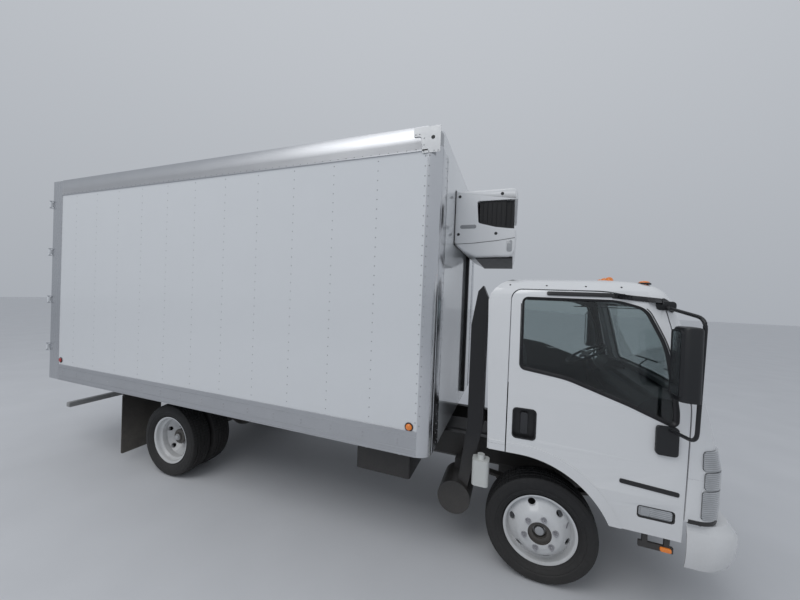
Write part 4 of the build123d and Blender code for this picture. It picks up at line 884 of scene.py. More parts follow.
def cab_floor_finish(face):
    """1 for the arches and the floor mat, and for the lid's seat as painted shade; 0 for the painted skin."""
    place = face.calc_center_median()
    in_arch = place.z < arch_top and abs(place.y) < arch_inside and place.x < axle_x + step_front
    on_floor = place.z > floor_low and face.normal.z > 0.5
    return int(in_arch or on_floor or behind_lid(place))


def cab_front_finish(face):
    """1 behind the front lid, as painted shade; 0 for the paint."""
    return int(behind_lid(face.calc_center_median()))


def in_pocket(place, pocket):
    """Inside a pocket's rectangle in the side view."""
    x, z, width, height = pocket
    return (abs(place.x - axle_x - x) <= width / 2 + pocket_slack
            and abs(place.z - z) <= height / 2 + pocket_slack)


def door_finish(face):
    """1 inside the handle's and the lamp's pockets, 2 on the trimmed inner side, 0 for the paint."""
    pocketed = any(all(in_pocket(v.co, pocket) for v in face.verts) for pocket in (handle_pocket, lamp_pocket))
    trimmed = face.normal.y * face.calc_center_median().y < 0 and abs(face.normal.y) > 0.5
    return 1 if pocketed else 2 * int(trimmed)


print("lid seat", round(2 * lid_half, 3), "by", round(lid_high - lid_low, 3))

# %% Dress the cab and the box
panel_edge, fold_edge, duct_edge = 0.003, 0.002, 0.014
plain_nodes = ("box_sides", "corner_posts", "corner_caps", "top_rails", "bottom_rails", "rear_frame", "headlamps",
               "reservoir", "dashboard", "box_roof", "box_front_wall", "fuel_tank", "battery_box", "exhaust",
               "tail_lamps", "bumper_lamps", "underrun_bar", "mud_flaps", "cab_glass", "steering_wheel", "frame")
for name in ("cab_rear", "cab_roof", "front_panel", "front_bumper"):
    dress(name, panel_edge)
dress("air_intake", duct_edge)
dress("cab_floor", fold_edge, ("frame_black",), cab_floor_finish)
dress("cab_front", panel_edge, ("frame_black",), cab_front_finish)
for name in plain_nodes:
    dress(name)
for hand in sides:
    dress(f"door_{hand}", fold_edge, ("frame_black", "dash_plastic"), door_finish)
    for stem in ("cargo_door", "door_glass", "lock_bars"):
        dress(f"{stem}_{hand}")

# %% [markdown]
# ## Window seals
# Every pane sits in a rubber profile: a lip that laps on to the paint and a thinner one on to the glass. The seal
# follows the pane's own edge, so its path is read from the solid pane: the boundary of the faces that look outward.
# The profile is laid across that path at each point, along the glass and out of it, and the rings are bridged.

# %% Read the edge of a pane
facing_out = 0.45


def edge_loop(rim):
    """Vertices of a closed rim of edges, in order."""
    after = {}
    for edge in rim:
        for v in edge.verts:
            after.setdefault(v, []).append(edge)
    edge = rim[0]
    loop, v = edge.verts[:1], edge.verts[1]
    while v is not loop[0]:
        loop.append(v)
        edge = next(e for e in after[v] if e is not edge)
        v = edge.other_vert(v)
    return loop


def pane_edge(node, facing, ahead_of):
    """Ordered edge points of a pane with their outward and away directions."""
    pane = welded(node)
    outer = {face for face in pane.faces if face.normal.dot(facing) > facing_out
             and (ahead_of is None or (face.calc_center_median().x > axle_x) == ahead_of)}
    loop = edge_loop([edge for edge in pane.edges if sum(face in outer for face in edge.link_faces) == 1])
    points = []
    middle = sum((v.co for v in loop), Vector()) / len(loop)
    for i, v in enumerate(loop):
        along = (loop[(i + 1) % len(loop)].co - v.co).normalized() + (v.co - loop[i - 1].co).normalized()
        out = sum((face.normal for face in v.link_faces if face in outer), Vector()).normalized()
        points.append((v.co.copy(), along.cross(out).normalized(), out))
    turn = sum(away.dot(point - middle) for point, away, out in points)
    pane.free()
    return [(point, away if turn > 0 else -away, out) for point, away, out in points]


print("windscreen's edge has", len(pane_edge("cab_glass", Vector((1, 0, 0)), True)), "points")

# %% Seal the windows
seal_smooth = 40
# along the glass from its edge, out from the glass
side_seal = ((0.009, 0.019), (0.008, 0.0225), (0.001, 0.0225), (-0.006, 0.010), (-0.017, 0.004), (-0.018, 0.0),
             (-0.004, 0.0), (0.004, 0.012))
screen_seal = ((0.014, 0.018), (0.013, 0.0225), (0.0, 0.0225), (-0.009, 0.010), (-0.022, 0.004), (-0.023, 0.0),
               (-0.004, 0.0), (0.004, 0.012))


def seal(name, node, facing, profile, ahead_of=None):
    """Rubber profile round a pane."""
    builder = bmesh.new()
    rings = [[builder.verts.new(point + away * u + out * w) for u, w in profile]
             for point, away, out in pane_edge(node, facing, ahead_of)]
    make_piece(name, walled(builder, rings, closed=True), body_of[node], "black_plastic", smooth=seal_smooth)


for hand, side in sides.items():
    seal(f"door_seal_{hand}", f"door_glass_{hand}", Vector((0, side, 0)), side_seal)
seal("windscreen_seal", "cab_glass", Vector((1, 0, 0)), screen_seal, True)
seal("rear_window_seal", "cab_glass", Vector((-1, 0, 0)), side_seal, False)
print("windows sealed")

# %% [markdown]
# ## Door fittings
# Each door carries a moulded handle frame with an upright pull in its pocket, a cornering lamp with a mirror
# backing, a bare black strip below the belt line, and a rain visor over the window. Flat fittings are made flat,
# with cuts across them, and are then pushed on to the door's curved skin, as a soft strip is pressed on by hand.

# %% Fit the doors
door_skin_nodes = ("cab_roof", "cab_front")
handle_frame_top, frame_sink = 1.322, 0.001
# piece, shape, x and height, width and height, depth with corner and band or edge, distance out (0: on the skin), slot
pocket_fittings = (
    ("handle_frame", frame_ring, (-0.142, 1.210), (0.166, 0.228), (0.004, 0.030, 0.010), 0, "black_plastic"),
    ("handle_pull", plate, (-0.142, 1.210), (0.052, 0.162), (0.022, 0.014, 0.006), 0.968, "dash_plastic"),
    ("door_lamp_bezel", frame_ring, (0.678, 0.753), (0.204, 0.082), (0.016, 0.019, 0.007), 0.974, "black_plastic"),
    ("door_lamp", plate, (0.678, 0.753), (0.186, 0.064), (0.012, 0.014, 0.003), 0.974, "lamp_clear"),
    ("door_lamp_insert", plate, (0.620, 0.753), (0.050, 0.050), (0.004, 0.008, 0.0015), 0.986, "cast_steel"))
# middle x, middle height, length, height, lean in radians of the bare strip and of the visor's three parts
bare_strip = (0.631, 0.922, 0.328, 0.030, 0.073)
visor_parts = ((0.19, 2.178, 0.42, 0.030, 0.0), (0.555, 2.160, 0.33, 0.034, 0.09), (0.72, 2.122, 0.10, 0.062, 0.5))
# depth, corner, edge and cuts of the strip and of the visor
strip_form, visor_form = (0.004, 0.010, 0.001, 10), (0.010, 0.012, 0.003, 10)


def draped_plate(part, form, skin, hand):
    """Thin plate at its place in the side view, laid on the skin."""
    x, z, width, height, lean = part
    return drape(placed(plate(width, height, *form), on_side(x, 0, z, hand, hand * lean)), skin, hand)


for hand, side in sides.items():
    door = body_of[f"door_{hand}"]
    skin = skin_of(f"door_{hand}", *door_skin_nodes)
    frame_out = skin_out(skin, handle_pocket[0], handle_frame_top, side, 1.0) - frame_sink
    for stem, shape, (x, z), size, form, out, slot in pocket_fittings:
        fitting = placed(shape(*size, *form), on_side(x, out or frame_out, z, side))
        make_piece(f"{stem}_{hand}", fitting, door, slot)
    make_piece(f"door_strip_{hand}", draped_plate(bare_strip, strip_form, skin, side), door, "black_plastic")
    visor = [draped_plate(part, visor_form, skin, side) for part in visor_parts]
    make_piece(f"rain_visor_{hand}", merged(*visor), door, "black_plastic")
print("doors fitted")

# %% [markdown]
# ## Mirrors
# A long bent tube carries each mirror well clear of the cab, from a head pad on the pillar to a foot pad low on the
# door. The head is a tall moulded case with round corners, and the glass sits behind it in a rim. The tube is one
# line of points with its corners rounded off, and a circle is carried along it.

# %% Build the mirrors
mirror_glass = metal((0.85, 0.87, 0.88), 0.03, "z", 0.01, 0.0)
mirror_glass.name = "mirror_glass"
tube_radius, tube_corner, tube_sides = 0.011, 0.06, 12
# ahead of the front axle, out, height: head pad, upper bend, lower bend, foot pad
tube_points = ((0.690, 0.880, 2.118), (0.780, 1.225, 2.052), (0.765, 1.225, 1.340), (0.715, 0.985, 1.325))
case_x, case_y, case_z = (0.664, 0.769), (1.122, 1.272), (1.570, 2.000)
case_corner, case_edge = 0.036, 0.018
# x, height, width and height of each pad; then depth, corner and edge of both, and how deep they sink in
mirror_pads = ((0.700, 2.118, 0.110, 0.060), (0.712, 1.250, 0.120, 0.188))
pad_form, pad_sink, pad_fallback = (0.030, 0.022, 0.006), 0.006, 0.95
# ahead of the front axle, out, height; then the pane's size and form and its rim's
mirror_place, mirror_plate, pane_form = (0.664, 1.197, 1.785), (0.112, 0.375), (0.006, 0.020, 0.0)
rim_wider, rim_form, rim_ahead, pane_ahead = 0.016, (0.038, 0.022, 0.009), 0.032, 0.003


def bent(points, radius):
    """Line of points with each inner corner rounded."""
    points = [Vector(p) for p in points]
    line = points[:1]
    for back, here, ahead in zip(points, points[1:], points[2:]):
        line += eased(here + (back - here).normalized() * radius, here, here + (ahead - here).normalized() * radius)
    return line + points[-1:]


def mirror_case(hand):
    """Upright case with round corners, between its spans."""
    size = [high - low for low, high in (case_x, case_y, case_z)]
    return placed(plate(*size, case_corner, case_edge),
                  on_top(sum(case_x) / 2, hand * sum(case_y) / 2, case_z[0]))


for hand, side in sides.items():
    node = f"mirror_{hand}"
    skin = skin_of(f"door_{hand}", *door_skin_nodes)
    tube = pipe([spot(p.x, side * p.y, p.z) for p in bent(tube_points, tube_corner)], tube_radius, tube_sides)
    pads = [placed(plate(width, height, *pad_form),
                   on_side(x, skin_out(skin, x, z, side, pad_fallback) - pad_sink, z, side))
            for x, z, width, height in mirror_pads]
    stand_in = make_piece(f"{node}.moulded", merged(tube, mirror_case(side), *pads), body_of[node], "mirror_black")
    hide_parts(node)
    x, out, z = mirror_place
    rim = placed(frame_ring(*(size + rim_wider for size in mirror_plate), *rim_form),
                 on_back(x + rim_ahead, side * out, z))
    make_piece(f"mirror_rim_{hand}", rim, body_of[node], "mirror_black")
    pane = make_piece(f"mirror_pane_{hand}", placed(plate(*mirror_plate, *pane_form),
                                                    on_back(x + pane_ahead, side * out, z)), body_of[node], "bar_steel")
    pane.data.materials[0] = mirror_glass
print("mirrors built")

# %% [markdown]
# ## Rivets and rail bolts
# The body's sheets are riveted to uprights behind them, so rows of small heads run up the sides at every upright.
# The top rails and the posts are riveted along their edges, and the bottom rails are bolted in pairs. One head is
# made once and copied to every place as one joined mesh, which keeps hundreds of them cheap.

# %% Rivet the body
chassis = body_of["box_sides"]
flanks = list(sides.values())
sheet_out, rail_out = 1.215, 1.219
rivet_pitch = 0.075
# radius and height
rivet_size, rail_bolt_size = (0.005, 0.0022), (0.006, 0.0035)
upright_first, upright_pitch, upright_count = -1.30, -0.40, 11
sheet_heights = (1.145, 3.17)
# x of a column of rivets and its lowest and highest one: on the sheet behind the post, and on the post
sheet_edge, post_edge = (-0.914, 1.16, 3.17), (-0.882, 1.14, 3.17)
rail_rivet_height, rail_rivet_ends = 3.222, (-0.99, -5.56)
rail_bolt_heights, rail_bolt_ends, rail_bolt_pitch = (0.983, 1.013), (-1.05, -5.50), 0.3


def rivet():
    """Flat dome of a pressed rivet."""
    return stud(*rivet_size, taper=0.6)


def on_flanks(out, spots):
    """Places on both flanks at the same distance out."""
    return [on_side(x, out, z, side) for side in flanks for x, z in spots]


sheet_spots = [(upright_first + n * upright_pitch, z) for n in range(upright_count)
               for z in steps(*sheet_heights, rivet_pitch)]
sheet_places = (on_flanks(sheet_out, sheet_spots)
                + on_flanks(sheet_out, [(sheet_edge[0], z) for z in steps(*sheet_edge[1:], rivet_pitch)]))
rail_places = (on_flanks(rail_out, [(x, rail_rivet_height) for x in steps(*rail_rivet_ends, rivet_pitch)])
               + on_flanks(rail_out, [(post_edge[0], z) for z in steps(*post_edge[1:], rivet_pitch)]))
bolt_places = on_flanks(rail_out, [(x, z) for x in steps(*rail_bolt_ends, rail_bolt_pitch) for z in rail_bolt_heights])
make_piece("side_rivets", joined(rivet(), sheet_places), chassis, "bar_grey")
make_piece("rail_rivets", joined(rivet(), rail_places), chassis, "bar_grey")
make_piece("rail_bolts", joined(bolt(*rail_bolt_size), bolt_places), chassis, "bar_steel")
print("rivets", len(sheet_places) + len(rail_places), "rail bolts", len(bolt_places))

# %% [markdown]
# ## Front corners
# At the front, bright flanges cover the joints between the corner posts and the front wall, and a cast cap closes
# each upper corner. The cap's side has stepped lower and rear edges, follows the rail's end and is riveted all
# round, with one large bolt in its middle. Its outline is drawn in the side view and pulled out by its thickness.

# %% Face the front corners
flange_face, flange_inner, flange_outer, flange_thick, flange_corner = -0.8, 0.935, 1.125, 0.003, 0.004
flange_middle, flange_tall = 2.08, 2.35
flange_rivet_insets, flange_rivet_heights = (0.014, 0.075), (0.95, 3.22)
# ahead of the front axle, height, corner radius
cap_side = ((-0.803, 3.384, 0.0), (-1.01, 3.384, 0.0), (-1.01, 3.318, 0.014), (-0.96, 3.316, 0.02),
            (-0.942, 3.290, 0.02), (-0.942, 3.190, 0.012), (-0.803, 3.187, 0.0))
cap_out, cap_face = 1.2195, 1.223
cap_bolt, cap_bolt_size = (-0.86, 3.30), (0.011, 0.004)
cap_rivets = ((-0.995, 3.332), (-0.965, 3.332), (-0.928, 3.30), (-0.928, 3.25), (-0.928, 3.203), (-0.89, 3.200),
              (-0.85, 3.200), (-0.818, 3.200))

flange_y = (flange_inner + flange_outer) / 2
flanges = [placed(plate(flange_outer - flange_inner, flange_tall, flange_thick, flange_corner),
                  on_front(flange_face, side * flange_y, flange_middle)) for side in flanks]
make_piece("post_flanges", merged(*flanges), chassis, "post_steel")
cap_plates = [pulled_across(cap_side, *aside((cap_out, cap_face), side)) for side in flanks]
make_piece("cap_flanges", merged(*cap_plates), chassis, "cast_steel")
flange_places = [on_front(flange_face + flange_thick, side * (flange_inner + inset), z) for side in flanks
                 for inset in flange_rivet_insets for z in steps(*flange_rivet_heights, rivet_pitch)]
make_piece("flange_rivets", joined(rivet(), flange_places + on_flanks(cap_face, cap_rivets)), chassis, "bar_grey")
make_piece("cap_bolts", joined(bolt(*cap_bolt_size), on_flanks(cap_face, [cap_bolt])), chassis, "frame_black")
print("front corners faced with", len(flange_places), "flange rivets")

# %% [markdown]
# ## Marker lamps
# Round marker lamps stand at the front and rear of each side, low down: amber in front and red behind. Each is a
# domed lens in a black rubber grommet. Three red lamps sit in the header over the rear doors, and two at its ends.

# %% Fit the marker lamps
front_marker, rear_marker = (-0.961, 1.122), (-5.551, 1.149)
header_face, header_height, header_outs = -5.789, 3.325, (-0.24, 0.0, 0.24, -1.12, 1.12)
lamp_dome = ((0.026, 0.0), (0.026, 0.005), (0.023, 0.012), (0.014, 0.017), (0.0, 0.018))
grommet = ((0.034, 0.0), (0.034, 0.004), (0.030, 0.008), (0.026, 0.006), (0.026, 0.0))


def fit_lamps(name, places, slot):
    """Domed lenses and their grommets at some places."""
    for label, profile, finish in ((name, lamp_dome, slot), (name + ".grommets", grommet, "black_plastic")):
        make_piece(label, merged(*[turned(profile, place, 24) for place in places]), chassis, finish, smooth=50)


fit_lamps("front_markers", on_flanks(sheet_out, [front_marker]), "lamp_amber")
fit_lamps("rear_markers", on_flanks(sheet_out, [rear_marker])
          + [on_back(header_face, y, header_height) for y in header_outs], "lamp_red")
print("marker lamps fitted", 2 * len(flanks) + len(header_outs))

# %% [markdown]
# ## Cooling unit
# The refrigeration unit hangs on the front wall over the cab: a moulded nose in white plastic, rounded all round,
# with a grille bay that is open at the front and wraps into both sides. Inside stand the condenser core and upright
# slats, and under the chin the dark air outlet. Its outline is one section, drawn with rounded corners and pulled
# across the truck. The section has the bay's notch in it, so the bay needs no cut.

# %% Mould the unit
unit_half, unit_round, round_segments, unit_edge = 0.53, 0.02, 4, 0.002
wall_x = -0.800
# ahead of the front axle, height, corner radius: round the unit's side view with the bay as a notch in its front
unit_outline = ((wall_x, 3.118, 0.0), (-0.258, 3.118, 0.09), (-0.2457, 3.015, 0.008), (-0.600, 3.015, 0.018),
                (-0.584, 2.814, 0.03), (-0.433, 2.773, 0.10), (-0.319, 2.757, 0.05), (-0.255, 2.752, 0.04),
                (-0.2487, 2.700, 0.06), (-0.257, 2.560, 0.08), (-0.285, 2.506, 0.06), (-0.600, 2.500, 0.05),
                (-0.712, 2.553, 0.05), (wall_x, 2.6255, 0.0))
notch_back, notch_low, notch_high = -0.605, 2.75, 3.02
thin = 0.001


def on_outer_rim(edge):
    """An edge round one end of the housing, but not round the bay or along the wall."""
    one, other = (v.co for v in edge.verts)
    middle = (one + other) / 2
    in_bay = middle.x - axle_x > notch_back and notch_low < middle.z < notch_high
    return abs(one.y - other.y) < thin and not in_bay and max(one.x, other.x) > axle_x + wall_x + thin


housing = pulled_across(unit_outline, -unit_half, unit_half)
ease(housing, [e for e in housing.edges if on_outer_rim(e)], unit_round, round_segments)
unit = make_piece("cooling_unit.moulded", housing, chassis, "unit_white")
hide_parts("cooling_unit")
round_edges(unit, unit_edge)
print("unit moulded, section points", len(rounded_outline(unit_outline)))

# %% Fill the grille bay
core_x, core_half, core_z = (-0.575, -0.345), 0.515, (2.762, 3.012)
slat_pitch, slat_half = 0.038, 0.003
front_slat_x, front_slats = (-0.345, -0.275), (-0.5, 0.5)
side_slat_out, side_slats, side_slat_z = (0.515, 0.527), (-0.55, -0.31), (2.79, 3.012)
outlet = ((-0.60, -0.275), (-0.49, 0.49), (2.492, 2.508))

bay = [block(core_x, (-core_half, core_half), core_z)]
bay += [block(front_slat_x, (y - slat_half, y + slat_half), core_z) for y in steps(*front_slats, slat_pitch)]
bay += [block((x - slat_half, x + slat_half), aside(side_slat_out, side), side_slat_z)
        for side in flanks for x in steps(*side_slats, slat_pitch)]
bay.append(block(*outlet))
grille = make_piece("condenser.grille", merged(*bay), chassis, "grille_black")
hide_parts("condenser")
print("grille bay filled with", len(bay), "blocks")

# %% Fasten the unit
screw_size = (0.0105, 0.004)
unit_screws = ((-0.761, 3.066), (-0.383, 3.070), (-0.762, 2.714), (-0.425, 2.714))
chin_seam = ((-0.795, 2.623), (-0.620, 2.630), (-0.398, 2.651), (-0.262, 2.672))
seam_radius, seam_proud = 0.0022, 0.0005
capsule_place, capsule_size, capsule_form = (-0.674, 2.783), (0.148, 0.034), (0.003, 0.01666, 0.001)
gauge_place, gauge_size, gauge_form, gauge_sink = (-0.305, 2.60), (0.045, 0.10), (0.005, 0.012, 0.002), 0.001
conduit = ((wall_x, wall_x + 0.035), (0.32, 0.38), (1.0, 2.63))
gasket_thick, gasket_half, gasket_band, gasket_z = 0.006, 0.54, 0.012, (2.615, 3.124)
gasket_sides = (0.53, 0.542)

screws = joined(bolt(*screw_size), on_flanks(unit_half, unit_screws))
make_piece("unit_screws", screws, chassis, "frame_black")
seams = [pipe([spot(x, side * (unit_half + seam_proud), z) for x, z in chin_seam], seam_radius, 6)
         for side in flanks]
make_piece("unit_seams", merged(*seams), chassis, "black_plastic")
capsule = placed(plate(*capsule_size, *capsule_form),
                 on_side(capsule_place[0], unit_half, capsule_place[1], sides["right"]))
make_piece("unit_capsule", capsule, chassis, "bar_grey")
gauges = [placed(plate(*gauge_size, *gauge_form), place) for place in on_flanks(unit_half - gauge_sink, [gauge_place])]
make_piece("unit_gauges", merged(*gauges), chassis, "lamp_clear")
make_piece("unit_conduit", block(*conduit), chassis, "black_plastic")
gasket_x = (wall_x, wall_x + gasket_thick)
bands = [block(gasket_x, (-gasket_half, gasket_half), span)
         for span in ((gasket_z[1] - gasket_band, gasket_z[1]), (gasket_z[0], gasket_z[0] + gasket_band))]
bands += [block(gasket_x, aside(gasket_sides, side), gasket_z) for side in flanks]
make_piece("unit_gasket", merged(*bands), chassis, "black_plastic")
print("unit fastened to the front wall")

# %% [markdown]
# ## Small cab fittings
# Two wiper arms lie across the foot of the windscreen, with a spring-loaded blade each. Amber side markers hang on
# black brackets under the sills, and a black strip runs round each front corner below the headlamp. Every point of
# a wiper or strip is found by a ray that is cast at the cab's skin, so that the piece lies on it as the real one does.

# %% Fit the wipers
cab = body_of["cab_front"]
screen_skin = skin_of("cab_glass", "cab_front", "cab_floor", "front_panel")
screen_fallback = 0.95
# foot y, foot height, tip y, tip height of each arm
wipers = ((0.50, 1.462, 0.14, 1.610), (-0.16, 1.462, -0.48, 1.600))
arm_radius, arm_proud, arm_step = 0.006, 0.034, 0.1
blade_half, blade_radius, blade_proud, blade_step, blade_lean = 0.24, 0.007, 0.026, 0.04, 0.1
spindle_back, spindle_size = 0.025, (0.018, 0.03)


def screen_point(y, height, proud):
    """Point on the front of the cab, a little ahead of its skin."""
    hit = screen_skin.ray_cast(spot(ray_start, y, height), Vector((-1, 0, 0)))[0]
    return Vector(((hit.x if hit else axle_x + screen_fallback) + proud, y, height))


for n, (foot_y, foot_z, tip_y, tip_z) in enumerate(wipers):
    across, up = tip_y - foot_y, tip_z - foot_z
    arm = [screen_point(foot_y + across * t, foot_z + up * t, arm_proud) for t in steps(0, 1, arm_step)]
    blade = [screen_point(tip_y + t, tip_z + blade_lean * up / across * t, blade_proud)
             for t in steps(-blade_half, blade_half, blade_step)]
    spindle = placed(stud(*spindle_size, 16, 0.8), on_front(arm[0].x - axle_x - spindle_back, foot_y, foot_z))
    make_piece(f"wiper_{n}", merged(pipe(arm, arm_radius), pipe(blade, blade_radius), spindle), cab, "black_plastic")
print("wipers fitted", len(wipers))

# %% Hang the side markers and lay the corner strips
# ahead of the front axle, out, height; then length, height, depth, corner and edge
side_marker, marker_form = (0.748, 0.968, 0.5235), (0.062, 0.028, 0.010, 0.010, 0.003)
marker_rail_x, marker_rail_y, marker_rail_z = (0.60, 0.79), (0.952, 0.968), (0.505, 0.545)
marker_posts, marker_post_top = ((0.62, 0.65), (0.74, 0.77)), 0.612
# middle the rays turn about: ahead of the front axle, out and height; then the angles from straight ahead
strip_middle, strip_angles, strip_step = (0.80, 0.70, 0.757), (20, 96), 5
# proud of the skin and up from the middle, round the strip's section
strip_section = ((-0.002, -0.013), (0.003, -0.013), (0.003, 0.013), (-0.002, 0.013))

markers = [placed(plate(*marker_form), on_side(*side_marker, side)) for side in flanks]
make_piece("side_markers", merged(*markers), cab, "lamp_amber")
rails = []
for side in flanks:
    span = aside(marker_rail_y, side)
    rails.append(block(marker_rail_x, span, marker_rail_z))
    rails += [block(post, span, (marker_rail_z[1], marker_post_top)) for post in marker_posts]
make_piece("side_marker_rails", merged(*rails), cab, "black_plastic")


def corner_strip(skin, hand):
    """Flat strip round one front corner, laid on the skin by a fan of rays."""
    builder = bmesh.new()
    x, out, height = strip_middle
    middle = spot(x, hand * out, height)
    rings = []
    for angle in steps(*map(math.radians, strip_angles), math.radians(strip_step)):
        away = Vector((math.cos(angle), hand * math.sin(angle), 0))
        hit = skin.ray_cast(middle + away, -away)[0]
        rings.append([builder.verts.new(hit + away * proud + Vector((0, 0, up))) for proud, up in strip_section])
    return walled(builder, rings)


corner_skin = skin_of("cab_floor")
make_piece("corner_strips", merged(*[corner_strip(corner_skin, side) for side in flanks]), cab, "black_plastic")
print("side markers hung and corners stripped", len(flanks))

# %% [markdown]
# ## Roof lamps and lid mesh
# Five amber lamps stand on the front of the roof, three of them close together in the middle. Each is a tall domed
# lens on a black foot, turned from a profile whose height is what remains between the roof's skin and the lamp's
# top. Low fixings hold the roof along its sides, and behind the front lid's slots there is a black wire mesh.

# %% Set the roof lamps
roof_body = body_of["roof_lamps"]
roof_skin = skin_of("cab_roof")
# out, ahead of the front axle, height of the top
roof_lamp_places = ((0.770, 0.627, 2.292), (0.160, 0.560, 2.362), (0.0, 0.560, 2.364), (-0.160, 0.560, 2.362),
                    (-0.770, 0.627, 2.292))
roof_lamp_radius, roof_lamp_sink, roof_lamp_seat, roof_ray = 0.035, 0.004, 0.008, 4
# share of the radius, share of the height
dome_shares = ((1.0, 0.35), (0.94, 0.62), (0.72, 0.86), (0.36, 0.975), (0.0, 1.0))
# beyond the lens, height
foot_steps = ((0.007, 0.0), (0.007, 0.008), (0.0, 0.013), (-0.002, 0.0))

domes, feet = [], []
for y, x, top in roof_lamp_places:
    foot = roof_skin.ray_cast(spot(x, y, roof_ray), Vector((0, 0, -1)))[0].z - roof_lamp_sink
    dome = [(roof_lamp_radius * wide, (top - foot) * tall) for wide, tall in dome_shares]
    domes.append(turned([(roof_lamp_radius, roof_lamp_seat)] + dome, on_top(x, y, foot)))
    feet.append(turned([(roof_lamp_radius + wider, tall) for wider, tall in foot_steps], on_top(x, y, foot)))
roof_lamps = make_piece("roof_lamps.domes", merged(*domes), roof_body, "lamp_amber", smooth=60)
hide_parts("roof_lamps")
make_piece("roof_lamps.feet", merged(*feet), roof_body, "black_plastic", smooth=50)
print("roof lamps set", len(roof_lamp_places))

# %% Fix the roof and fill the lid's slots
roof_bolts, roof_bolt_height, roof_bolt_sink, roof_fallback = (-0.28, -0.02, 0.24, 0.46), 2.235, 0.001, 0.9
roof_bolt_size = (0.007, 0.004)
mesh_heights, mesh_half, mesh_back, mesh_pitch, mesh_cut, wire_radius = (0.872, 1.19), 0.545, 0.036, 0.014, 0.11, 0.0012

roof_places = [on_side(x, skin_out(roof_skin, x, roof_bolt_height, side, roof_fallback) - roof_bolt_sink,
                       roof_bolt_height, side) for side in flanks for x in roof_bolts]
make_piece("roof_fixings", joined(stud(*roof_bolt_size, 12), roof_places), body_of["cab_roof"], "black_plastic")
wires = [pipe([screen_point(y, height, -mesh_back) for y in steps(-mesh_half, mesh_half, mesh_cut)], wire_radius, 4)
         for height in steps(*mesh_heights, mesh_pitch)]
make_piece("grille_mesh", merged(*wires), body_of["front_panel"], "grille_black")
print("roof fixed, mesh wires", len(wires))

# %% [markdown]
# ## Seats
# Three seats stand side by side. Each cushion is a crowned pad whose sides pull in between its corners, over a
# pressed black base. The backs lean a little, and are pads of the same kind. They start as a finely divided block,
# which is crowned by a formula and then relaxed until its edges are round. Behind the glass that is as good as a
# cloth simulation, and it costs no time.

# %% Upholster the seats
seat_outs, seat_front, seat_depth, seat_width = (-0.56, 0.0, 0.56), 0.262, 0.485, 0.425
seat_floor, seat_base, seat_top = 1.04, 1.15, 1.825
cushion_thick, back_thick, back_ahead, back_lean = 0.125, 0.10, 0.055, math.radians(8)
pad_cuts, pad_passes = 9, 3
# share of the full size left at the middle of a side, share gained at a corner, share gained at half thickness
side_share, corner_share, belly_share = 0.94, 0.03, 0.03
flat_share, crown_share = 0.72, 0.26
# base: from the cushion's back, from its front, half its width, how far it goes into the cushion
base_back, base_front, base_half, base_into = 0.06, 0.07, 0.12, 0.01


def pad(width, height, thick, place):
    """Crowned pad about local z = 0, then moved to its place."""
    builder = bmesh.new()
    bmesh.ops.create_cube(builder, size=2)
    bmesh.ops.subdivide_edges(builder, edges=builder.edges[:], cuts=pad_cuts, use_grid_fill=True)
    for v in builder.verts:
        x, y, z = v.co
        belly = side_share + belly_share * (1 - z * z)
        v.co = Vector((x * width / 2 * (belly + corner_share * y * y), y * height / 2 * (belly + corner_share * x * x),
                       z * thick / 2 * (flat_share + crown_share * (1 - x ** 4) * (1 - y ** 4))))
    for _ in range(pad_passes):
        bmesh.ops.smooth_vert(builder, verts=builder.verts, factor=0.5, use_axis_x=True, use_axis_y=True,
                              use_axis_z=True)
    return placed(builder, place)


cushion_top = seat_base + cushion_thick
lean = Matrix.Rotation(-back_lean, 4, "Y")
seat_body = body_of["seats"]
bases = []
for n, out in enumerate(seat_outs):
    cushion = pad(seat_depth, seat_width, cushion_thick,
                  on_top(seat_front - seat_depth / 2, out, seat_base + cushion_thick / 2))
    back = pad(back_thick, seat_width, seat_top - cushion_top,
               on_top(seat_front - seat_depth + back_ahead, out, (cushion_top + seat_top) / 2) @ lean)
    for label, pad_mesh in (("cushion", cushion), ("back", back)):
        piece = make_piece(f"seat_{label}_{n}", pad_mesh, seat_body, "seat_fabric", smooth=60)
        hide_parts("seats")
    bases.append(block((seat_front - seat_depth + base_back, seat_front - base_front),
                       (out - base_half, out + base_half), (seat_floor, seat_base + base_into)))
make_piece("seat_bases", merged(*bases), seat_body, "frame_black")
print("seats upholstered", len(bases))

# %% [markdown]
# ## Rear doors
# The rear doors close on black rubber gaskets that run round each leaf, and their strap hinges are bolted on with
# six heads each. A gasket is one rounded frame, and the heads are one joined mesh for each leaf.

# %% Fit the rear doors
leaf_face, leaf_span, leaf_heights = -5.774, (0.012, 1.135), (1.108, 3.254)
gasket_form, gasket_back = (0.008, 0.020, 0.018), 0.003
hinge_heights, strap_back = (1.3, 1.9, 2.5, 3.1), 0.021
hinge_bolt_outs, hinge_bolt_offsets, hinge_bolt_size = (1.00, 1.06, 1.12), (-0.014, 0.014), (0.008, 0.005)

for hand, side in sides.items():
    leaf = body_of[f"cargo_door_{hand}"]
    gasket = placed(frame_ring(leaf_span[1] - leaf_span[0], leaf_heights[1] - leaf_heights[0], *gasket_form),
                    on_back(leaf_face + gasket_back, side * sum(leaf_span) / 2, sum(leaf_heights) / 2))
    make_piece(f"door_gasket_{hand}", gasket, leaf, "black_plastic")
    heads = [on_back(leaf_face - strap_back, side * out, z + offset)
             for z in hinge_heights for out in hinge_bolt_outs for offset in hinge_bolt_offsets]
    make_piece(f"hinge_bolts_{hand}", joined(bolt(*hinge_bolt_size), heads), leaf, "bar_steel")
print("rear doors fitted with", len(heads), "hinge bolts each")
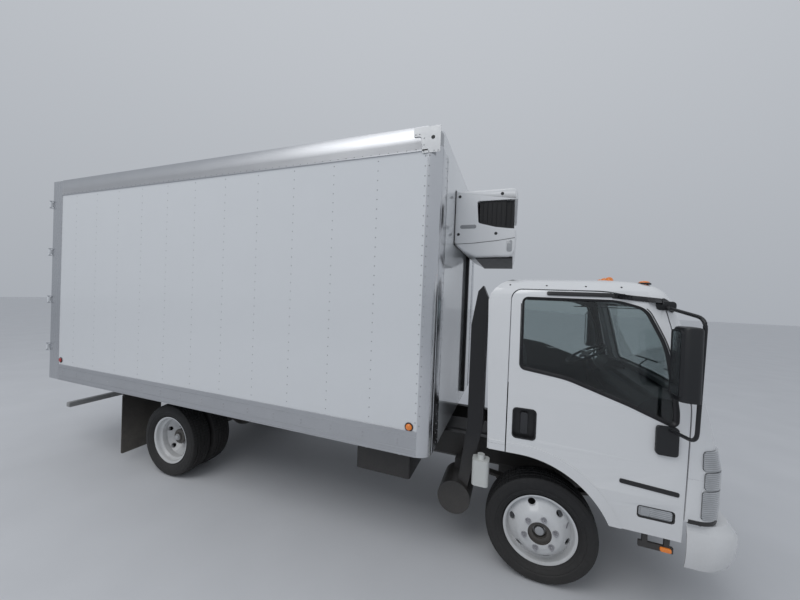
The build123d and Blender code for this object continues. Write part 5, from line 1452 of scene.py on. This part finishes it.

# %% [markdown]
# ## Chassis fittings
# Under the body two straps hold the fuel tank, four bent clamps hold each spring, the flaps hang on bolted strips,
# and the battery box has a lid with two latches. The straps are sized from the tank, and the flap strips and the lid
# are placed on the solids they sit on, which are read from the frame, so that each stays tight on it.

# %% Strap the fuel tank
tank_strap_x, strap_proud, strap_inward, strap_half, strap_corner = (-1.75, -2.25), 0.004, 0.003, 0.022, 0.078
tank_inside, tank_low_high = 0.475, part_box("fuel_tank")
tank_cap_place, tank_cap_sink = (-1.62, 0.76), 0.004
# out from the cap's middle, up from its foot
tank_cap = ((0.0, 0.03), (0.03, 0.03), (0.036, 0.022), (0.036, 0.004), (0.042, 0.0), (0.0, 0.0))

tank_z = [corner.z for corner in tank_low_high]
tank_y = (tank_inside, tank_low_high[1].y)
strap_wide, strap_tall = (high - low + 2 * strap_proud for low, high in (tank_y, tank_z))
straps = [placed(frame_ring(strap_wide, strap_tall, 2 * strap_half, strap_corner, strap_proud + strap_inward),
                 on_front(x - strap_half, sum(tank_y) / 2, sum(tank_z) / 2)) for x in tank_strap_x]
make_piece("tank_straps", merged(*straps), body_of["fuel_tank"], "bar_steel")
make_piece("tank_cap", turned(tank_cap, on_top(*tank_cap_place, tank_z[1] - tank_cap_sink), 24),
           body_of["fuel_tank"], "frame_black")
print("tank held by", len(straps), "straps")

# %% Hang the mud flaps
flap_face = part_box("mud_flaps")[0].x - axle_x
strip_thick, strip_outs, strip_z = 0.006, (0.66, 1.08), (0.775, 0.815)
strip_bolt_outs, strip_bolt_size = (0.70, 0.80, 0.90, 1.00, 1.05), (0.009, 0.006)
strips = [block((flap_face - strip_thick, flap_face), aside(strip_outs, side), strip_z) for side in flanks]
strip_heads = [on_back(flap_face - strip_thick, side * out, sum(strip_z) / 2)
               for side in flanks for out in strip_bolt_outs]
make_piece("flap_strips", merged(*strips), body_of["mud_flaps"], "bar_steel")
make_piece("flap_bolts", joined(bolt(*strip_bolt_size), strip_heads), body_of["mud_flaps"], "bar_steel")
print("flaps hung on", len(strip_heads), "bolts")

# %% Clamp the springs
# x of the axle, foot and length of the clamps on its springs
spring_clamps = ((0.0, 0.40, 0.19), (rear_axle_x, 0.41, 0.20))
spring_out, clamp_half, clamp_reach, clamp_radius = 0.39, 0.036, 0.055, 0.008
clamps = []
for x, foot, length in spring_clamps:
    for side in flanks:
        for end in (-clamp_reach, clamp_reach):
            for across in (-clamp_half, clamp_half):
                start = spot(x + end, side * (spring_out + across), foot)
                clamps.append(pipe((start, start + Vector((0, 0, length))), clamp_radius, 8))
make_piece("spring_clamps", merged(*clamps), body_of["leaf_springs"], "spring_steel")
print("springs held by", len(clamps), "clamps")

# %% Close the battery box
battery_low, battery_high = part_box("battery_box")
battery_inside, lid_out, lid_sink = 0.446, 0.004, 0.002
lid_form, latch_form = (0.54, 0.43, 0.012, 0.03, 0.004), (0.035, 0.075, 0.010, 0.008, 0.002)
latch_offsets, latch_down = (-0.16, 0.16), 0.06
lid_x = (battery_low.x + battery_high.x) / 2 - axle_x
lid_y = (battery_low.y - battery_inside) / 2 - lid_out
make_piece("battery_lid", placed(plate(*lid_form), on_top(lid_x, lid_y, battery_high.z - lid_sink)),
           body_of["battery_box"], "black_plastic")
latches = [placed(plate(*latch_form), on_side(lid_x + offset, abs(battery_low.y), battery_high.z - latch_down,
                                              sides["right"])) for offset in latch_offsets]
make_piece("battery_latches", merged(*latches), body_of["battery_box"], "bar_steel")
print("battery box closed with", len(latches), "latches")

# %% [markdown]
# ## Floor, backdrop and light
# A plain pale floor takes the truck's shadow, and the world is a soft even dome that is a little brighter overhead.
# One broad lamp stands for the sky on the camera's side, so that the glossy sides show a gentle gradient. Several
# lamps would give each rounded edge several highlights, which a plain studio tent doesn't.

# %% Build the studio
floor_half, floor_colour, floor_roughness = 60, (0.62, 0.63, 0.65), 0.75
floor_tones = ((0.58, 0.59, 0.61, 1), (0.66, 0.67, 0.69, 1))
dome_tones, dome_strength = ((0.62, 0.66, 0.72, 1), (0.86, 0.9, 0.96, 1)), 0.62
dome_low, dome_high = -0.1, 0.7
key_power, key_size, key_place, key_tip = 400, 7, (-4, -7, 11), (37, 0, -16)


def build_stage():
    """Large floor plane in a pale matt finish."""
    builder = bmesh.new()
    bmesh.ops.create_grid(builder, x_segments=1, y_segments=1, size=floor_half)
    mesh = bpy.data.meshes.new("floor")
    builder.to_mesh(mesh)
    builder.free()
    material, tree, shader = new_material(floor_colour, floor_roughness)
    material.name = "floor"
    fill(shader, {"Base Color": mixed(tree, noise(tree, own_place(tree), 1.5, 6.0), *floor_tones)})
    mesh.materials.append(material)
    floor = bpy.data.objects.new("floor", mesh)
    scene.collection.objects.link(floor)


def build_light():
    """World dome and one broad lamp above and behind the camera."""
    scene.view_settings.view_transform = "Standard"
    world = bpy.data.worlds.new("studio")
    scene.world = world
    world.use_nodes = True
    tree = world.node_tree
    where = add_node(tree, "TexCoord").outputs["Generated"]
    height = add_node(tree, "SeparateXYZ", {0: where}).outputs["Z"]
    ramp = add_node(tree, "MapRange", {"Value": height, "From Min": dome_low, "From Max": dome_high}).outputs[0]
    fill(tree.nodes["Background"], {"Color": mixed(tree, ramp, *dome_tones), "Strength": dome_strength})
    key = bpy.data.objects.new("key", bpy.data.lights.new("key", "AREA"))
    key.data.energy = key_power
    key.data.size = key_size
    key.location = spot(*key_place)
    key.rotation_euler = [math.radians(angle) for angle in key_tip]
    scene.collection.objects.link(key)


build_stage()
build_light()
print("studio built, lamp of", key_power, "watts")
